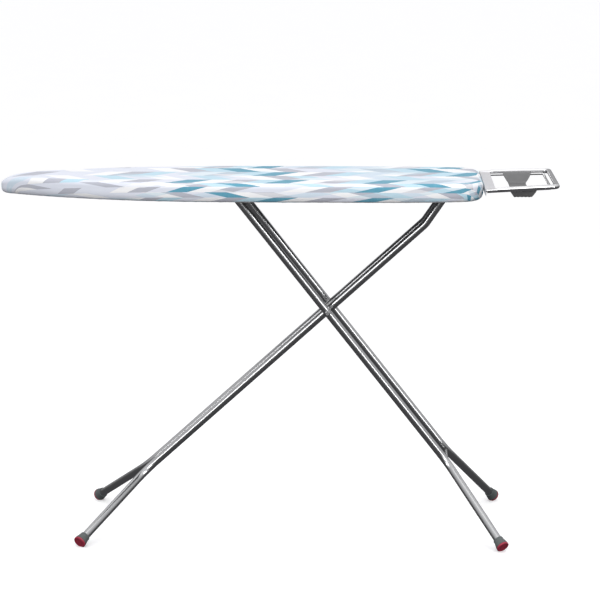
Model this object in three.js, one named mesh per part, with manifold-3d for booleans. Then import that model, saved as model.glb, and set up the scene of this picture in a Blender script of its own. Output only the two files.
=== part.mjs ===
// Folding ironing board on crossed tube legs, with a wire iron rest past its square end.
// Millimetres, +Z up, +X towards the iron rest, +Y away from the side where the user's free hand works.
// Inside the model X is counted from the tip of the nose; the exported group moves the origin to the
// middle of the footprint, on the floor.
import * as THREE from "three";
import { mergeVertices } from "three/addons/utils/BufferGeometryUtils.js";
import Module from "manifold-3d";

const wasm = await Module();
wasm.setup();

// ---------------------------------------------------------------- driving dimensions
// Ironing top
const boardLength = 1198;
const boardHalfWidth = 190;
const boardTop = 895;
const noseShoulderX = 300;
const noseShoulderHalfWidth = 153;
const widestFromX = 690;
const widestToX = 930;
const squareEndHalfWidth = 95;
const cornerLength = 46;
const cornerHalfWidth = 168;
const coverThickness = 1.3;
const coverDepth = 47;
const coverEdgeRadius = 14;
const hemWidth = 18;
const padThickness = 8;
const padOverhang = 4;
const padEdgeRadius = 3.8;
const sheetThickness = 1.5;
const sheetInset = 5;
const noseSetback = 15;
const ventRadius = 8;
const ventPitch = 74;
const ventMargin = 34;
const rimOverhang = 7;
const rimThickness = 1.5;
const rimHeight = 30;

// Legs
const tubeRadius = 10;
const tubeWall = 1.2;
const outerLegHalfGap = 75;
const innerLegHalfGap = 32.5;
const outerLegAngle = 51.7;
const innerLegAngle = 42;
const innerLegTopAngle = 55.5;
const outerLowerLength = 698;
const innerTopLength = 104.27;
const pivotFromNose = 817;
const hingeDrop = 33;
const outerFootHalfSpread = 261;
const innerFootHalfSpread = 243;
const outerSplayLength = 214;
const innerSplayLength = 200;
const splayBendRadius = 90;
const topBendRadius = 60;
const legOverhang = 12;
const braceRadius = 4;

// Feet
const footHeight = 11.5;
const footEndRadius = 16;
const footCollarRadius = 12.6;
const footLength = 26;
const footFloor = 8;
const footPadThickness = 5;
const footPadDish = 1;

// Rods, bushes and spacers
const pivotRodRadius = 4;
const pivotHeadRadius = 7;
const pivotHeadHeight = 3;
const rivetBore = 0.55;
const spacerRadius = 7;
const glideRodRadius = 5;
const glideBushRadius = 7;
const glideBushLength = 16;
const hingeRodRadius = 4;
const hingeHeadRadius = 7;
const washerRadius = 8;

// Underside fittings
const plateThickness = 2;
const railFlange = 16;
const railMountFlange = 14;
const railTravelMargin = 22;
const glideHeadroom = 5.5;
const glideFootroom = 1.5;
const foldedGlideTravel = 270;
const rivetRadius = 3.5;
const hingeBracketLength = 60;
const hingeBracketHalfWidth = 50;
const hingeBracketDrop = 13;
const earThickness = 3;

// Height latch
const latchFromPin = 62;
const latchPitch = 28;
const latchNotches = 6;
const latchNotchWidth = 13;
const latchNotchDepth = 5;
const latchDepth = 13;
const latchThickness = 3;
const latchToGlideGap = 1.2;
const latchPinRadius = 3;
const latchPinDrop = 7;
const latchTail = 102;
const latchEarGap = 3.5;
const latchBracketLength = 24;
const handleFromPin = 90;
const handleRadius = 4;
const handleReach = 120;
const gripRadius = 7;
const gripLength = 54;
const gripEnd = 4;
const springWireRadius = 0.7;
const springCoilRadius = 5.2;
const springTurns = 4;
const springPitch = 1.9;

// Iron rest
const restReach = 183;
const restCrossbarWidth = 25;
const restFlangeHeight = 17;
const restFlangeGap = 2;
const restTubeRadius = 6;
const restRootHalfWidth = 183;
const restEndHalfWidth = 160;
const restCornerRadius = 14;
const restBelowTop = 14;
const restRise = 7;
const wireRadius = 3;
const wireInset = 14.5;
const wireDrop = 5.5;
const trayFromCrossbar = 57;
const trayTopWidth = 72;
const trayFloorWidth = 44;
const trayDepth = 26;
const trayThickness = 1.5;
const trayLip = 10;
const trayCornerRadius = 12;
const restBoltRadius = 3;
const restBoltHeadRadius = 5.5;
const restBoltHeadHeight = 3.5;
const restBoltHalfSpacing = 70;

// Clearances
const seatGap = 0.3;
const rodClearance = 0.3;
const boltClearance = 0.5;

// Facets
const tubeSides = 12;
const rodSides = 12;
const bendSteps = 6;
const footSides = 20;
const coverEdgeSteps = 3;
const padEdgeSteps = 1;

// ---------------------------------------------------------------- derived places
const radians = THREE.MathUtils.degToRad;
const sheetTop = boardTop - coverThickness - seatGap - padThickness - seatGap;
const sheetBottom = sheetTop - sheetThickness;
const underSheet = sheetBottom - seatGap;
const rimBottom = underSheet - rimHeight;
// The padding and the rim keep their places under the cover's rounding, past the flat of the top.
const padInset = coverEdgeRadius - padOverhang;
const rimInset = coverEdgeRadius - rimOverhang;
const hingeZ = boardTop - hingeDrop;
const pivot = {
  x: pivotFromNose,
  z: footHeight + outerLowerLength * Math.sin(radians(outerLegAngle)),
};
const glide = {
  x: pivot.x - (hingeZ - pivot.z) / Math.tan(radians(outerLegAngle)),
  z: hingeZ,
};
// The inner leg's bend hangs a fixed length of tube below the hinge, whatever the board's height.
const innerBendZ = hingeZ - innerTopLength * Math.sin(radians(innerLegTopAngle));
const innerStraightAbovePivot = (innerBendZ - pivot.z) / Math.sin(radians(innerLegAngle));
const innerBend = {
  x: pivot.x + innerStraightAbovePivot * Math.cos(radians(innerLegAngle)),
  z: innerBendZ,
};
const hinge = {
  x: innerBend.x + innerTopLength * Math.cos(radians(innerLegTopAngle)),
  z: hingeZ,
};
const innerLowerLength = (pivot.z - footHeight) / Math.sin(radians(innerLegAngle));
const latchTipZ = glide.z - glideRodRadius - latchToGlideGap;
const latchPin = { x: glide.x + latchFromPin, z: latchTipZ - latchPinDrop };
const railWebInner = outerLegHalfGap + tubeRadius + 3 + railFlange;
const crossbarX = boardLength + restFlangeGap;
const crossbarTop = boardTop - restBelowTop + 1;
const restRootZ = boardTop - restBelowTop - 1;
const restEndX = boardLength + restReach - restTubeRadius;
const restTaper = (restRootHalfWidth - restEndHalfWidth) / (restEndX - crossbarX);
const crossbarHalfLength = restRootHalfWidth - restTaper * restCrossbarWidth - restTubeRadius - 2 * seatGap;
const overallLength = boardLength + restReach;

// ---------------------------------------------------------------- materials
const steel = (color, roughness) => new THREE.MeshStandardMaterial({ color, roughness, metalness: 1 });
const matte = (color, roughness) => new THREE.MeshStandardMaterial({ color, roughness, metalness: 0 });
const chrome = steel(0xb9bcc0, 0.18);
const zinc = steel(0xa8abae, 0.4);
const paintedSteel = matte(0xdadbdc, 0.45);
const trayPaint = matte(0x747474, 0.5);
const coverCloth = matte(0xdfe5f1, 0.9);
const foam = matte(0xf1efe8, 0.95);
const rubberGrey = matte(0x7b7e82, 0.7);
const footRed = matte(0xa62c44, 0.55);
const nylon = matte(0xe9e9e6, 0.45);
const gripPlastic = matte(0x4c4f54, 0.5);

// ---------------------------------------------------------------- solids
const model = new THREE.Group();
model.position.x = -overallLength / 2;

function add(name, geometry, material, parent = model) {
  const mesh = new THREE.Mesh(geometry, material);
  mesh.name = name;
  parent.add(mesh);
  return mesh;
}

function toSolid(geometry) {
  const bare = geometry.index ? geometry.toNonIndexed() : geometry.clone();
  bare.deleteAttribute("normal");
  bare.deleteAttribute("uv");
  const merged = mergeVertices(bare, 1e-4);
  return new wasm.Manifold(new wasm.Mesh({
    numProp: 3,
    vertProperties: new Float32Array(merged.attributes.position.array),
    triVerts: new Uint32Array(merged.index.array),
  }));
}

function toGeometry(solid) {
  const mesh = solid.getMesh();
  const geometry = new THREE.BufferGeometry();
  geometry.setAttribute("position", new THREE.BufferAttribute(new Float32Array(mesh.vertProperties), 3));
  geometry.setIndex(new THREE.BufferAttribute(new Uint32Array(mesh.triVerts), 1));
  geometry.computeVertexNormals();
  return geometry;
}

function cut(geometry, ...tools) {
  const solid = tools.reduce((left, tool) => left.subtract(toSolid(tool)), toSolid(geometry));
  return toGeometry(solid);
}

function box(x0, x1, y0, y1, z0, z1) {
  const geometry = new THREE.BoxGeometry(x1 - x0, y1 - y0, z1 - z0);
  return geometry.translate((x0 + x1) / 2, (y0 + y1) / 2, (z0 + z1) / 2);
}

// Round bar or hole along Y, centred on the point (x, z).
function barAlongY(radius, y0, y1, { x, z }) {
  const geometry = new THREE.CylinderGeometry(radius, radius, y1 - y0, rodSides);
  return geometry.translate(x, (y0 + y1) / 2, z);
}

// Round piece along Y with a bore right through it.
function sleeveAlongY(radius, bore, y0, y1, centre) {
  return cut(barAlongY(radius, y0, y1, centre), barAlongY(bore, y0 - 1, y1 + 1, centre));
}

// Flat outline in X and Y, raised from z0 to z1.
function slab(shape, z0, z1) {
  const geometry = new THREE.ExtrudeGeometry(shape, { depth: z1 - z0, bevelEnabled: false });
  return geometry.translate(0, 0, z0);
}

// Closed outline given as [across, up] pairs in Y and Z, drawn out along X.
function alongX(outline, x0, x1) {
  const shape = new THREE.Shape(outline.map(([y, z]) => new THREE.Vector2(y, z)));
  const geometry = new THREE.ExtrudeGeometry(shape, { depth: x1 - x0, bevelEnabled: false });
  return geometry.rotateX(Math.PI / 2).rotateZ(Math.PI / 2).translate(x0, 0, 0);
}

// Closed outline given as [along, up] pairs in X and Z, with its thickness centred on Y = 0.
function alongY(outline, thickness) {
  const shape = new THREE.Shape(outline.map(([x, z]) => new THREE.Vector2(x, z)));
  const geometry = new THREE.ExtrudeGeometry(shape, { depth: thickness, bevelEnabled: false });
  return geometry.rotateX(Math.PI / 2).translate(0, thickness / 2, 0);
}

// ---------------------------------------------------------------- bent tubes
// A route that visits every one of its knots, so that straight runs need no stations of their own.
class KnotRoute extends THREE.Curve {
  constructor(knots) {
    super();
    this.knots = knots;
  }

  getPoint(t, target = new THREE.Vector3()) {
    const place = t * (this.knots.length - 1);
    const before = Math.min(Math.floor(place + 1e-9), this.knots.length - 2);
    return target.lerpVectors(this.knots[before], this.knots[before + 1], place - before);
  }

  getPointAt(u, target) {
    return this.getPoint(u, target);
  }

  getTangentAt(u, target = new THREE.Vector3()) {
    const last = this.knots.length - 1;
    const knot = Math.round(u * last);
    const after = this.knots[Math.min(knot + 1, last)];
    return target.copy(after).sub(this.knots[Math.max(knot - 1, 0)]).normalize();
  }
}

// Corner points joined by straight runs, each inner corner rounded to an arc.
function roundedKnots(corners, radius, steps = bendSteps) {
  const knots = [corners[0]];
  for (let i = 1; i < corners.length - 1; i++) {
    const back = corners[i - 1].clone().sub(corners[i]).normalize();
    const ahead = corners[i + 1].clone().sub(corners[i]).normalize();
    const half = back.angleTo(ahead) / 2;
    const middle = back.clone().add(ahead).normalize();
    const centre = corners[i].clone().addScaledVector(middle, radius / Math.sin(half));
    const start = corners[i].clone().addScaledVector(back, radius / Math.tan(half)).sub(centre);
    const end = corners[i].clone().addScaledVector(ahead, radius / Math.tan(half)).sub(centre);
    const sweep = start.angleTo(end);
    for (let k = 0; k <= steps; k++) {
      const share = k / steps;
      const spoke = start.clone().multiplyScalar(Math.sin((1 - share) * sweep));
      spoke.addScaledVector(end, Math.sin(share * sweep)).divideScalar(Math.sin(sweep));
      knots.push(spoke.add(centre));
    }
  }
  knots.push(corners[corners.length - 1]);
  return knots;
}

function circlePath(Kind, radius, sides) {
  const path = new Kind();
  for (let i = 0; i < sides; i++) {
    const angle = (2 * Math.PI * (i + 0.5)) / sides;
    const point = [radius * Math.cos(angle), radius * Math.sin(angle)];
    if (i === 0) path.moveTo(...point);
    else path.lineTo(...point);
  }
  path.closePath();
  return path;
}

function bar(knots, radius, sides = tubeSides) {
  const shape = circlePath(THREE.Shape, radius, sides);
  return sweep(shape, knots);
}

function tube(knots, radius, wall) {
  const shape = circlePath(THREE.Shape, radius, tubeSides);
  shape.holes.push(circlePath(THREE.Path, radius - wall, tubeSides));
  return sweep(shape, knots);
}

function sweep(shape, knots) {
  const route = new KnotRoute(knots);
  return new THREE.ExtrudeGeometry(shape, { steps: knots.length - 1, extrudePath: route });
}

// ---------------------------------------------------------------- ironing top
// Half outline from the nose tip to the middle of the square end.
function halfOutline() {
  const path = new THREE.Path();
  path.moveTo(0, 0);
  path.bezierCurveTo(0, 14, 6, 20, 13, 25);
  path.bezierCurveTo(72, 68, 0.55 * noseShoulderX, noseShoulderHalfWidth - 38, noseShoulderX,
    noseShoulderHalfWidth);
  path.bezierCurveTo(noseShoulderX + 110, boardHalfWidth - 6, widestFromX - 150, boardHalfWidth,
    widestFromX, boardHalfWidth);
  path.lineTo(widestToX, boardHalfWidth);
  const cornerX = boardLength - cornerLength;
  path.bezierCurveTo(widestToX + 90, boardHalfWidth, cornerX - 60, cornerHalfWidth + 17, cornerX,
    cornerHalfWidth);
  path.bezierCurveTo(cornerX + 30, cornerHalfWidth - 11, boardLength, squareEndHalfWidth + 34,
    boardLength, squareEndHalfWidth);
  return path.getPoints(8).filter((point, i, all) => i === 0 || point.distanceTo(all[i - 1]) > 0.5);
}

const boardOutline = (() => {
  const half = halfOutline();
  const mirrored = half.slice(1).map((point) => new THREE.Vector2(point.x, -point.y));
  return [...half.reverse(), ...mirrored];
})();

function distanceToOutline(point) {
  const ends = boardOutline.map((a, i) => [a, boardOutline[(i + 1) % boardOutline.length]]);
  return Math.min(...ends.map(([a, b]) => {
    const edge = b.clone().sub(a);
    const along = THREE.MathUtils.clamp(point.clone().sub(a).dot(edge) / edge.lengthSq(), 0, 1);
    return point.distanceTo(a.clone().addScaledVector(edge, along));
  }));
}

// The outline moved inwards by an inset, without the points that would fold over at the nose.
function insetOutline(inset) {
  const count = boardOutline.length;
  const moved = boardOutline.map((point, i) => {
    const before = boardOutline[(i + count - 1) % count];
    const after = boardOutline[(i + 1) % count];
    const toPoint = point.clone().sub(before).normalize();
    const fromPoint = after.clone().sub(point).normalize();
    const tangent = toPoint.clone().add(fromPoint).normalize();
    const stretch = 1 / Math.max(0.5, tangent.dot(toPoint));
    return point.clone().add(new THREE.Vector2(-tangent.y, tangent.x).multiplyScalar(inset * stretch));
  });
  return moved.filter((point) => distanceToOutline(point) > inset - 0.2);
}

// The inset outline of a steel layer, which also stops short of the nose, where the cloth slopes down.
function steelOutline(inset) {
  return insetOutline(inset).map((point) => {
    const share = Math.max(0, 1 - point.x / noseShoulderX);
    return new THREE.Vector2(point.x + noseSetback * share * share, point.y);
  });
}

// A slab of the board's outline with its edges rounded over, top and bottom.
function roundedSlab(inset, z0, z1, edgeRadius, edgeSteps) {
  const shape = new THREE.Shape(insetOutline(inset + edgeRadius));
  const geometry = new THREE.ExtrudeGeometry(shape, {
    depth: z1 - z0 - 2 * edgeRadius,
    bevelThickness: edgeRadius,
    bevelSize: edgeRadius,
    bevelSegments: edgeSteps,
  });
  return geometry.translate(0, 0, z0 + edgeRadius);
}

function restBoltHoles() {
  const radius = restBoltRadius + boltClearance;
  const length = 2 * coverEdgeRadius;
  return [-1, 1].map((side) => {
    const hole = new THREE.CylinderGeometry(radius, radius, length, rodSides).rotateZ(Math.PI / 2);
    return hole.translate(boardLength, side * restBoltHalfSpacing, restBoltZ);
  });
}

const restBoltZ = crossbarTop - restFlangeHeight / 2 - 1;

function coverShell() {
  const bottom = boardTop - coverDepth;
  const outside = roundedSlab(0, bottom, boardTop, coverEdgeRadius, coverEdgeSteps);
  const inside = roundedSlab(coverThickness, bottom + coverThickness, boardTop - coverThickness,
    coverEdgeRadius - coverThickness, coverEdgeSteps);
  const mouth = slab(new THREE.Shape(insetOutline(hemWidth)), bottom - 5, bottom + 2 * coverThickness);
  return cut(outside, inside, mouth, ...restBoltHoles());
}

function ventedSheet() {
  const shape = new THREE.Shape(steelOutline(sheetInset));
  const rows = Math.floor((boardHalfWidth - ventMargin) / ventPitch);
  for (let row = -rows; row <= rows; row++) {
    const start = ventPitch * (1 + (row % 2 === 0 ? 0 : 0.5));
    for (let x = start; x < boardLength; x += ventPitch) {
      const centre = new THREE.Vector2(x, row * ventPitch);
      if (!insideOutline(centre) || distanceToOutline(centre) < ventMargin) continue;
      const vent = new THREE.Path();
      for (let i = 0; i < 8; i++) {
        const angle = (Math.PI * (i + 0.5)) / 4;
        const corner = [centre.x + ventRadius * Math.cos(angle), centre.y - ventRadius * Math.sin(angle)];
        if (i === 0) vent.moveTo(...corner);
        else vent.lineTo(...corner);
      }
      vent.closePath();
      shape.holes.push(vent);
    }
  }
  return slab(shape, sheetBottom, sheetTop);
}

function insideOutline(point) {
  return boardOutline.every((a, i) => {
    const b = boardOutline[(i + 1) % boardOutline.length];
    return (b.x - a.x) * (point.y - a.y) - (b.y - a.y) * (point.x - a.x) > 0;
  });
}

function edgeRim() {
  const shape = new THREE.Shape(steelOutline(rimInset));
  shape.holes.push(new THREE.Path(steelOutline(rimInset + rimThickness).reverse()));
  return cut(slab(shape, rimBottom, underSheet), ...restBoltHoles());
}

function addIroningTop() {
  const padBottom = sheetTop + seatGap;
  add("cover", coverShell(), coverCloth);
  const padTop = padBottom + padThickness;
  add("padding", roundedSlab(padInset, padBottom, padTop, padEdgeRadius, padEdgeSteps), foam);
  add("top_sheet", ventedSheet(), zinc);
  add("edge_rim", edgeRim(), zinc);
}

// ---------------------------------------------------------------- underside fittings
// One guide rail: a channel open towards the middle, hung from a web with a riveted flange.
function railSection(side) {
  const floor = glide.z - glideBushRadius - glideFootroom;
  const roof = glide.z + glideBushRadius + glideHeadroom;
  const mouth = railWebInner - railFlange;
  const web = railWebInner + plateThickness;
  return [
    [mouth, floor - plateThickness], [web, floor - plateThickness], [web, underSheet - plateThickness],
    [web + railMountFlange, underSheet - plateThickness], [web + railMountFlange, underSheet],
    [railWebInner, underSheet], [railWebInner, roof + plateThickness], [mouth, roof + plateThickness],
    [mouth, roof], [railWebInner, roof], [railWebInner, floor], [mouth, floor],
  ].map(([y, z]) => [side * y, z]);
}

function rivet(x, y) {
  const profile = [[0, 0], [rivetRadius, 0], [rivetRadius * 0.7, 1.6], [0, 2]];
  const points = profile.map(([r, h]) => new THREE.Vector2(r, h));
  const geometry = new THREE.LatheGeometry(points, 12);
  return geometry.rotateX(-Math.PI / 2).translate(x, y, underSheet - plateThickness - seatGap);
}

function addGuideRails() {
  const x0 = glide.x - foldedGlideTravel - railTravelMargin;
  const x1 = glide.x + railTravelMargin;
  const rivetY = railWebInner + plateThickness + railMountFlange / 2;
  for (const [label, side] of [["near", -1], ["far", 1]]) {
    const outline = railSection(side);
    add(`guide_rail_${label}`, alongX(side > 0 ? outline : outline.reverse(), x0, x1), zinc);
    [x0 + railTravelMargin, x1 - railTravelMargin].forEach((x, i) => {
      add(`rail_rivet_${label}_${i + 1}`, rivet(x, side * rivetY), zinc);
    });
  }
}

// A bracket bent to an upside-down U, its ears down either side of a pin.
function earBracket(halfWidth, ear, length, earBottom, centre, holeRadius) {
  const roof = underSheet - plateThickness;
  const outline = [
    [-halfWidth, earBottom], [-halfWidth + ear, earBottom], [-halfWidth + ear, roof],
    [halfWidth - ear, roof], [halfWidth - ear, earBottom], [halfWidth, earBottom],
    [halfWidth, underSheet], [-halfWidth, underSheet],
  ];
  const body = alongX(outline, centre.x - length / 2, centre.x + length / 2);
  return cut(body, barAlongY(holeRadius, -halfWidth - 1, halfWidth + 1, centre));
}

// A pin along Y with a rolled head at each end, each head hollow in its middle.
function headedPin(radius, headRadius, headHeight, y0, y1, centre) {
  const bore = radius * rivetBore;
  const points = [
    [0, y0], [bore, y0], [bore, y0 - headHeight], [headRadius * 0.8, y0 - headHeight],
    [headRadius, y0 - headHeight * 0.5], [headRadius, y0], [radius, y0], [radius, y1], [headRadius, y1],
    [headRadius, y1 + headHeight * 0.5], [headRadius * 0.8, y1 + headHeight], [bore, y1 + headHeight],
    [bore, y1], [0, y1],
  ].map(([r, h]) => new THREE.Vector2(r, h));
  return new THREE.LatheGeometry(points, rodSides).translate(centre.x, 0, centre.z);
}

function addLegHinge() {
  const bracket = earBracket(hingeBracketHalfWidth, earThickness, hingeBracketLength,
    hinge.z - hingeBracketDrop, hinge, hingeRodRadius + rodClearance);
  add("hinge_bracket", bracket, zinc);
  const rodEnd = hingeBracketHalfWidth + seatGap;
  add("hinge_rod", headedPin(hingeRodRadius, hingeHeadRadius, 3, -rodEnd, rodEnd, hinge), zinc);
  const inner = innerLegHalfGap + tubeRadius + seatGap;
  const outer = hingeBracketHalfWidth - earThickness - seatGap;
  for (const [label, side] of [["near", -1], ["far", 1]]) {
    const [y0, y1] = side > 0 ? [inner, outer] : [-outer, -inner];
    add(`hinge_washer_${label}`, sleeveAlongY(washerRadius, hingeRodRadius + rodClearance, y0, y1, hinge),
      nylon);
  }
}

// ---------------------------------------------------------------- height latch
// Latch bar with notches along its upper edge, one for each height of the board.
function latchOutline() {
  const top = latchTipZ;
  const bottom = top - latchDepth;
  const nose = glide.x - (latchNotches - 0.4) * latchPitch;
  const points = [[nose, bottom], [latchPin.x + latchTail, bottom], [latchPin.x + latchTail, top]];
  for (let i = 0; i < latchNotches; i++) {
    const centre = glide.x - i * latchPitch;
    const floor = top - latchNotchDepth;
    points.push([centre + latchNotchWidth / 2, top], [centre + latchNotchWidth / 3, floor]);
    points.push([centre - latchNotchWidth / 3, floor], [centre - latchNotchWidth / 2, top]);
  }
  points.push([nose + 4, top], [nose, top - 4]);
  return points;
}

function latchSpring() {
  const knots = [];
  const perTurn = 12;
  const first = -(latchThickness / 2 + latchEarGap + plateThickness + 2);
  for (let i = 0; i <= springTurns * perTurn; i++) {
    const angle = (2 * Math.PI * i) / perTurn;
    const y = first - (springPitch * i) / perTurn;
    knots.push(new THREE.Vector3(latchPin.x + springCoilRadius * Math.cos(angle), y,
      latchPin.z + springCoilRadius * Math.sin(angle)));
  }
  return bar(knots, springWireRadius, 6);
}

function gripBody(centre) {
  const closed = -handleReach - gripEnd;
  const bore = handleRadius + rodClearance;
  const points = [
    [0, closed], [gripRadius * 0.7, closed], [gripRadius, closed + 3],
    [gripRadius * 0.88, closed + gripLength / 2], [gripRadius, closed + gripLength - 2],
    [gripRadius * 0.85, closed + gripLength], [bore, closed + gripLength],
    [bore, closed + gripEnd - seatGap], [0, closed + gripEnd - seatGap],
  ].map(([r, h]) => new THREE.Vector2(r, h));
  return new THREE.LatheGeometry(points, 16).translate(centre.x, 0, centre.z);
}

function addHeightLatch() {
  const earOuter = latchThickness / 2 + latchEarGap + plateThickness;
  const handle = { x: latchPin.x + handleFromPin, z: latchPin.z };
  const pinHole = latchPinRadius + rodClearance;
  add("latch_bracket", earBracket(earOuter, plateThickness, latchBracketLength,
    latchPin.z - latchBracketLength / 4, latchPin, pinHole), zinc);
  const springEnd = earOuter + 2 + springPitch * (springTurns + 1);
  add("latch_pin", headedPin(latchPinRadius, 4.5, 1.5, -springEnd, earOuter + seatGap, latchPin), zinc);
  add("latch_spring", latchSpring(), zinc);
  const reach = latchThickness * 2;
  add("latch_bar", cut(alongY(latchOutline(), latchThickness), barAlongY(pinHole, -reach, reach, latchPin),
    barAlongY(handleRadius + rodClearance, -reach, reach, handle)), zinc);
  add("latch_handle", barAlongY(handleRadius, -handleReach, reach, handle), chrome);
  add("latch_grip", gripBody(handle), gripPlastic);
}

// ---------------------------------------------------------------- legs
// Points of one leg tube on one side: top end, bends, and the middle of its foot's end face.
function outerLegCorners(side) {
  const down = new THREE.Vector3(Math.cos(radians(outerLegAngle)), 0, -Math.sin(radians(outerLegAngle)));
  const onPivot = new THREE.Vector3(pivot.x, side * outerLegHalfGap, pivot.z);
  const onGlide = new THREE.Vector3(glide.x, side * outerLegHalfGap, glide.z);
  const bend = onPivot.clone().addScaledVector(down, outerLowerLength - outerSplayLength);
  const foot = onPivot.clone().addScaledVector(down, outerLowerLength).setY(side * outerFootHalfSpread);
  return [onGlide.addScaledVector(down, -legOverhang), bend, foot];
}

function innerLegCorners(side) {
  const down = new THREE.Vector3(-Math.cos(radians(innerLegAngle)), 0, -Math.sin(radians(innerLegAngle)));
  const up = new THREE.Vector3(Math.cos(radians(innerLegTopAngle)), 0, Math.sin(radians(innerLegTopAngle)));
  const y = side * innerLegHalfGap;
  const onHinge = new THREE.Vector3(hinge.x, y, hinge.z);
  const topBend = new THREE.Vector3(innerBend.x, y, innerBend.z);
  const onPivot = new THREE.Vector3(pivot.x, y, pivot.z);
  const bend = onPivot.clone().addScaledVector(down, innerLowerLength - innerSplayLength);
  const foot = onPivot.clone().addScaledVector(down, innerLowerLength).setY(side * innerFootHalfSpread);
  return [onHinge.addScaledVector(up, legOverhang), topBend, bend, foot];
}

// Rounds the corners, and stops the tube on the floor of its foot.
function legKnots(corners) {
  const topBend = corners.length > 3 ? roundedKnots(corners.slice(0, 3), topBendRadius) : [corners[0]];
  const lower = roundedKnots(corners.slice(-3), splayBendRadius).slice(1);
  const foot = corners[corners.length - 1];
  const heading = foot.clone().sub(corners[corners.length - 2]).normalize();
  lower[lower.length - 1] = foot.clone().addScaledVector(heading, -footFloor - seatGap);
  return [...(corners.length > 3 ? topBend.slice(0, -1) : topBend), ...lower];
}

function footParts(corners) {
  const foot = corners[corners.length - 1];
  const heading = foot.clone().sub(corners[corners.length - 2]).normalize();
  const turn = new THREE.Quaternion().setFromUnitVectors(new THREE.Vector3(0, 1, 0), heading);
  const room = 4 * footEndRadius;
  const floor = box(foot.x - room, foot.x + room, foot.y - room, foot.y + room, -room, 0);
  return [capProfile(), padProfile()].map((profile) => {
    const points = profile.map(([r, h]) => new THREE.Vector2(r, h));
    const geometry = new THREE.LatheGeometry(points, footSides).applyQuaternion(turn);
    return cut(geometry.translate(foot.x, foot.y, foot.z), floor);
  });
}

// Both profiles run along the foot's axis, with 0 at the outer face of the pad.
function capProfile() {
  const bore = tubeRadius + seatGap;
  const seat = -footPadThickness - seatGap;
  return [
    [0, -footFloor], [bore, -footFloor], [bore, -footLength], [footCollarRadius, -footLength],
    [footCollarRadius + 0.6, -footLength * 0.7], [footEndRadius - 0.5, seat - 2],
    [footEndRadius - 0.5, seat], [0, seat],
  ];
}

function padProfile() {
  return [
    [0, -footPadThickness], [footEndRadius - 0.6, -footPadThickness],
    [footEndRadius, -footPadThickness * 0.7], [footEndRadius, -footPadThickness * 0.3],
    [footEndRadius - 1.4, 0], [footEndRadius - 4, 0], [footEndRadius - 6, -footPadDish], [0, -footPadDish],
  ];
}

function addFoot(label, corners) {
  const [cap, pad] = footParts(corners);
  add(`foot_cap_${label}`, cap, rubberGrey);
  add(`foot_pad_${label}`, pad, footRed);
}

function legTube(corners, holes) {
  return cut(tube(legKnots(corners), tubeRadius, tubeWall), ...holes);
}

function crossHole(radius, halfGap, side, centre) {
  const y = side * halfGap;
  return barAlongY(radius, y - 1.5 * tubeRadius, y + 1.5 * tubeRadius, centre);
}

function brace(halfGap, at) {
  const reach = halfGap - tubeRadius - seatGap;
  return barAlongY(braceRadius, -reach, reach, at);
}

function addOuterLegs() {
  for (const [label, side] of [["near", -1], ["far", 1]]) {
    const corners = outerLegCorners(side);
    add(`outer_leg_${label}`, legTube(corners, [
      crossHole(pivotRodRadius + rodClearance, outerLegHalfGap, side, pivot),
      crossHole(glideRodRadius + rodClearance, outerLegHalfGap, side, glide),
    ]), chrome);
    addFoot(`outer_${label}`, corners);
    const bushStart = outerLegHalfGap + tubeRadius + 2;
    const ends = [side * bushStart, side * (bushStart + glideBushLength)].sort((a, b) => a - b);
    add(`glide_bush_${label}`, sleeveAlongY(glideBushRadius, glideRodRadius + rodClearance, ...ends, glide),
      nylon);
  }
  const rodReach = outerLegHalfGap + tubeRadius + 2 + glideBushLength;
  add("glide_rod", barAlongY(glideRodRadius, -rodReach, rodReach, glide), zinc);
  const bend = outerLegCorners(1)[1];
  add("outer_brace", brace(outerLegHalfGap, { x: bend.x, z: bend.z }), chrome);
}

function addInnerLegs() {
  for (const [label, side] of [["near", -1], ["far", 1]]) {
    const corners = innerLegCorners(side);
    add(`inner_leg_${label}`, legTube(corners, [
      crossHole(pivotRodRadius + rodClearance, innerLegHalfGap, side, pivot),
      crossHole(hingeRodRadius + rodClearance, innerLegHalfGap, side, hinge),
    ]), chrome);
    addFoot(`inner_${label}`, corners);
    const inner = innerLegHalfGap + tubeRadius + seatGap;
    const outer = outerLegHalfGap - tubeRadius - seatGap;
    const ends = [side * inner, side * outer].sort((a, b) => a - b);
    add(`pivot_spacer_${label}`, sleeveAlongY(spacerRadius, pivotRodRadius + rodClearance, ...ends, pivot),
      nylon);
  }
  const between = innerLegHalfGap - tubeRadius - seatGap;
  const bore = pivotRodRadius + rodClearance;
  add("pivot_spacer_middle", sleeveAlongY(spacerRadius, bore, -between, between, pivot), nylon);
  const rodEnd = outerLegHalfGap + tubeRadius + seatGap;
  add("pivot_rod", headedPin(pivotRodRadius, pivotHeadRadius, pivotHeadHeight, -rodEnd, rodEnd, pivot), zinc);
  const bend = innerLegCorners(1)[2];
  add("inner_brace", brace(innerLegHalfGap, { x: bend.x, z: bend.z }), chrome);
}

// ---------------------------------------------------------------- iron rest
// Height of the rest's middle plane at a distance past its root, as it rises outwards.
const restSlope = restRise / (restEndX - crossbarX);
const restHeightAt = (x) => restRootZ + restSlope * (x - crossbarX);

function restCorners(inset, drop, x0, x1) {
  const halfWidthAt = (x) => restRootHalfWidth - restTaper * (x - crossbarX) - inset;
  const corner = (x, side) => new THREE.Vector3(x, side * halfWidthAt(x), restHeightAt(x) - drop);
  return [corner(x0, -1), corner(x1, -1), corner(x1, 1), corner(x0, 1)];
}

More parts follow.
